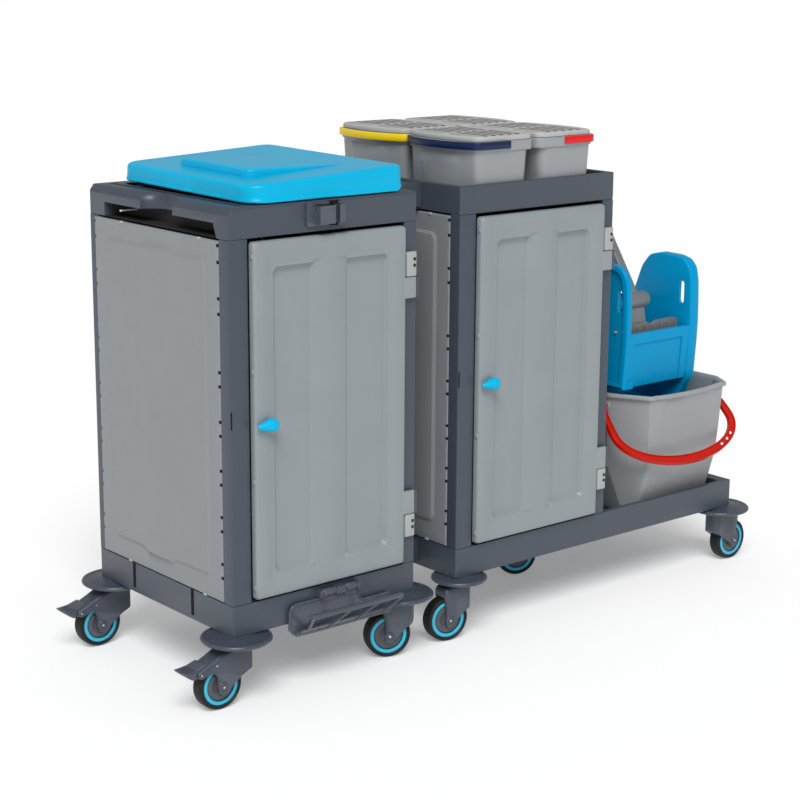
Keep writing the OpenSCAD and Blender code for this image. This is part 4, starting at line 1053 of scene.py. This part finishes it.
SLOT = [(74 + 8 * math.cos(math.radians(a)), 700 + 8 * math.sin(math.radians(a))) for a in range(0, 181, 15)] + \
       [(74 + 8 * math.cos(math.radians(a)), 661 + 8 * math.sin(math.radians(a))) for a in range(180, 361, 15)]
CPK = fillet([(64, 486), (58, 560), (56, 610), (57, 666), (59, 706), (66, 736), (80, 750), (100, 753), (150, 754), (176, 746), (194, 722),
              (214, 668), (228, 598), (231, 486)], [6, 60, 60, 60, 60, 20, 16, 20, 20, 20, 50, 60, 60, 6], 4)
mm = Mesh()
for x0, f0, f1, o in ((WX0, WX0 - 12, WX0 + 5, 0), (WX1 - 22, WX1 - 22, WX1 + 8, 1)):
    rings = []
    for x, ins in ((f0, 4.6), (f0 + 0.6, 2.8), (f0 + 1.8, 1.2), (f0 + 4.4, 0), (f1 - 4.4, 0), (f1 - 1.8, 1.2), (f1 - 0.6, 2.8), (f1, 4.6)):
        rings.append([(x, y, z) for y, z in (inset(CHF, ins) if ins else CHF)])
    pocket = prism(CPK, "x", f0 - 2, f0 + 6) if o == 0 else prism(CPK, "x", f0 + 8, f1 + 2)
    mm.add(solid(loft(rings), [("-", pocket), ("-", prism(SLOT, "x", f0 - 2, f1 + 2))]))
    mm.add(prism(LOW if o == 0 else [(82, 400), (60, 455), (50, 474)] + LOW[4:], "x", x0, x0 + 22))
mm.add(revolve([(10.3, WX0 + 3), (17, WX0 + 3), (17, WX0 + 20.6), (16, WX0 + 21.6), (10.3, WX0 + 21.6), (10.3, WX0 + 3)], (0, 100, 672), "x", 32))
# light clips on the left cheek
for y, z in ((83, 607), (57, 612)):
    mm.add(rbox((WX0 - 10.6, y - 3, z - 2.4), (WX0 - 4, y + 3, z + 2.4), 1.0, 2), 1)
# front wall with a band along the top and a sunk field
fy = lambda z: 44 + (604 - z) * 10 / 128
wall = solid(prism([(44, 604), (56, 604), (66, 476), (54, 476)], "x", WX0 + 3, WX1 - 20), [
    ("-", prism([(fy(580) - 6, 580), (fy(580) + 3.2, 580), (fy(480) + 3.2, 470), (fy(480) - 6, 470)], "x", WX0 + 14, WX1 - 44))])
mm.add(wall)
mm.add(box((WX0 + 4, 226, 402), (WX1 - 22, 238, 650)))
mm.add(solid(box((WX0 + 22, 86, 402), (WX1 - 22, 226, 410)),
             [("-", rbox((WX0 + 36 + k * 33, 98, 395), (WX0 + 56 + k * 33, 214, 417), 4, 2)) for k in range(5)]))
mm.add(box((MX - MH + 4, 120, MRIM + 0.5), (WX0 + 2, 200, MRIM + 8)))
mm.add(box((MX - 90, 236, MRIM + 0.5), (MX - 10, MY + MV - 3, MRIM + 8)))
piece("wringer_shell", mm, [M_BLUE, M_LEAF], "wringer", ["wringer_body"], "blue_plastic", bevel=2.0, seg=3, bang=38)

mm = Mesh()
mm.add(revolve([(0, WX0 + 21), (9.8, WX0 + 21), (9.8, WX0 + 60), (0, WX0 + 60)], (0, 100, 672), "x", 28))
mm.add(revolve([(9.5, WX0 + 24), (19, WX0 + 24), (21, WX0 + 26), (21, WX0 + 96), (19.6, WX0 + 98), (19.6, WX0 + 101), (18, WX0 + 105),
                (9.5, WX0 + 106)], (0, 100, 672), "x", 36))
mm.add(loft([[(x, y, 660) for x, y in rrect(WX0 + 40, 87, WX0 + 92, 113, 3, 3)],
             [(x, y, 592) for x, y in rrect(WX0 + 32, 85, WX0 + 104, 112, 3, 3)]]))
ang = math.radians(33)
up_ = Vector((0, math.sin(ang), math.cos(ang)))
nrm = Vector((0, math.cos(ang), -math.sin(ang)))


def lever_pt(x, n, h):
    q = Vector((WX0 + 66, 100, 672)) + up_ * h + nrm * n
    return (q[0] + x, q[1], q[2])


LS = [(0, 13, 15), (40, 13, 14.5), (120, 12.6, 13.4), (200, 12.2, 12.4), (238, 12.4, 12.4), (246, 13.6, 13.6), (252, 14, 14),
      (320, 14, 14), (327, 12.6, 12.6), (330, 9, 9)]
mm.add(loft([[lever_pt(p, q, h) for p, q in oval(a, b, 24, 4.5 if h < 240 else 2.4)] for h, a, b in LS]))
for k in range(7):
    h = 258 + k * 9
    mm.add(loft([[lever_pt(p, q, h + d) for p, q in oval(a, a, 24, 2.2)] for d, a in ((-1.6, 13.4), (-0.8, 15), (0.8, 15), (1.6, 13.4))]))
piece("wringer_lever_arm", mm, [M_LEVER], "lever", ["wringer_lever"], "bucket_plastic", sharp=40)

mm = Mesh()
top_ = [(WX0 + 29, 618), (WX0 + 92, 621), (WX0 + 110, 612), (WX0 + 128, 620), (WX1 - 40, 621), (WX1 - 29, 618)]
mm.add(prism([(WX0 + 29, 474)] + top_ + [(WX1 - 29, 474)], "y", 78, 88))
for k in range(7):
    mm.add(box((WX0 + 33 + k * 26, 73, 512), (WX0 + 39 + k * 26, 79, 612)))
piece("wringer_press_comb", mm, [M_LEVER], "lever", ["wringer_press_plate"], "bucket_plastic", bevel=1.2, seg=2)

# ------------------------------------------------------------------ camera, floor, light
sc = bpy.context.scene
az, el, roll = math.radians(-39.98), math.radians(13.3), math.radians(0.37)
back = Vector((math.sin(az) * math.cos(el), -math.cos(az) * math.cos(el), math.sin(el)))
fwd = -back
right = fwd.cross(Vector((0, 0, 1))).normalized()
upv = right.cross(fwd)
r2 = right * math.cos(roll) + upv * math.sin(roll)
u2 = -right * math.sin(roll) + upv * math.cos(roll)
cd = bpy.data.cameras.new("view_camera")
cd.sensor_fit = "HORIZONTAL"
cd.sensor_width = 36.0
cd.lens = 1869.6 * 36 / 800
cd.clip_end = 500
co = bpy.data.objects.new("view_camera", cd)
sc.collection.objects.link(co)
mat = Matrix((r2, u2, back)).transposed().to_4x4()
mat.translation = Vector((-2.7055, -3.1215, 1.453))
co.matrix_world = mat
sc.camera = co

fm = bpy.data.meshes.new("studio_floor")
fm.from_pydata([(-90, -90, 0), (90, -90, 0), (90, 90, 0), (-90, 90, 0)], [], [[0, 1, 2, 3]])
fo = bpy.data.objects.new("studio_floor", fm)
sc.collection.objects.link(fo)
ft = bpy.data.materials.new("floor_pale")
ft.use_nodes = True
fb = ft.node_tree.nodes["Principled BSDF"]
fb.inputs["Base Color"].default_value = (0.86, 0.86, 0.86, 1)
fb.inputs["Roughness"].default_value = 0.9
fb.inputs["Specular IOR Level"].default_value = 0.05
fb.inputs["Emission Color"].default_value = (1, 1, 1, 1)
fb.inputs["Emission Strength"].default_value = 0.22
fm.materials.append(ft)

wd = bpy.data.worlds.new("studio")
wd.use_nodes = True
bg = wd.node_tree.nodes["Background"]
bg.inputs["Color"].default_value = (1, 1, 1, 1)
bg.inputs["Strength"].default_value = 0.37
sc.world = wd


sl = bpy.data.lights.new("soft_sun", "SUN")
sl.energy = 2.4
sl.angle = math.radians(30)
so = bpy.data.objects.new("soft_sun", sl)
sc.collection.objects.link(so)
so.location = (-1.5, -2.8, 4.0)
so.rotation_euler = Vector((0.42, 0.53, -0.73)).to_track_quat("-Z", "Y").to_euler()
sc.view_settings.view_transform = "Standard"
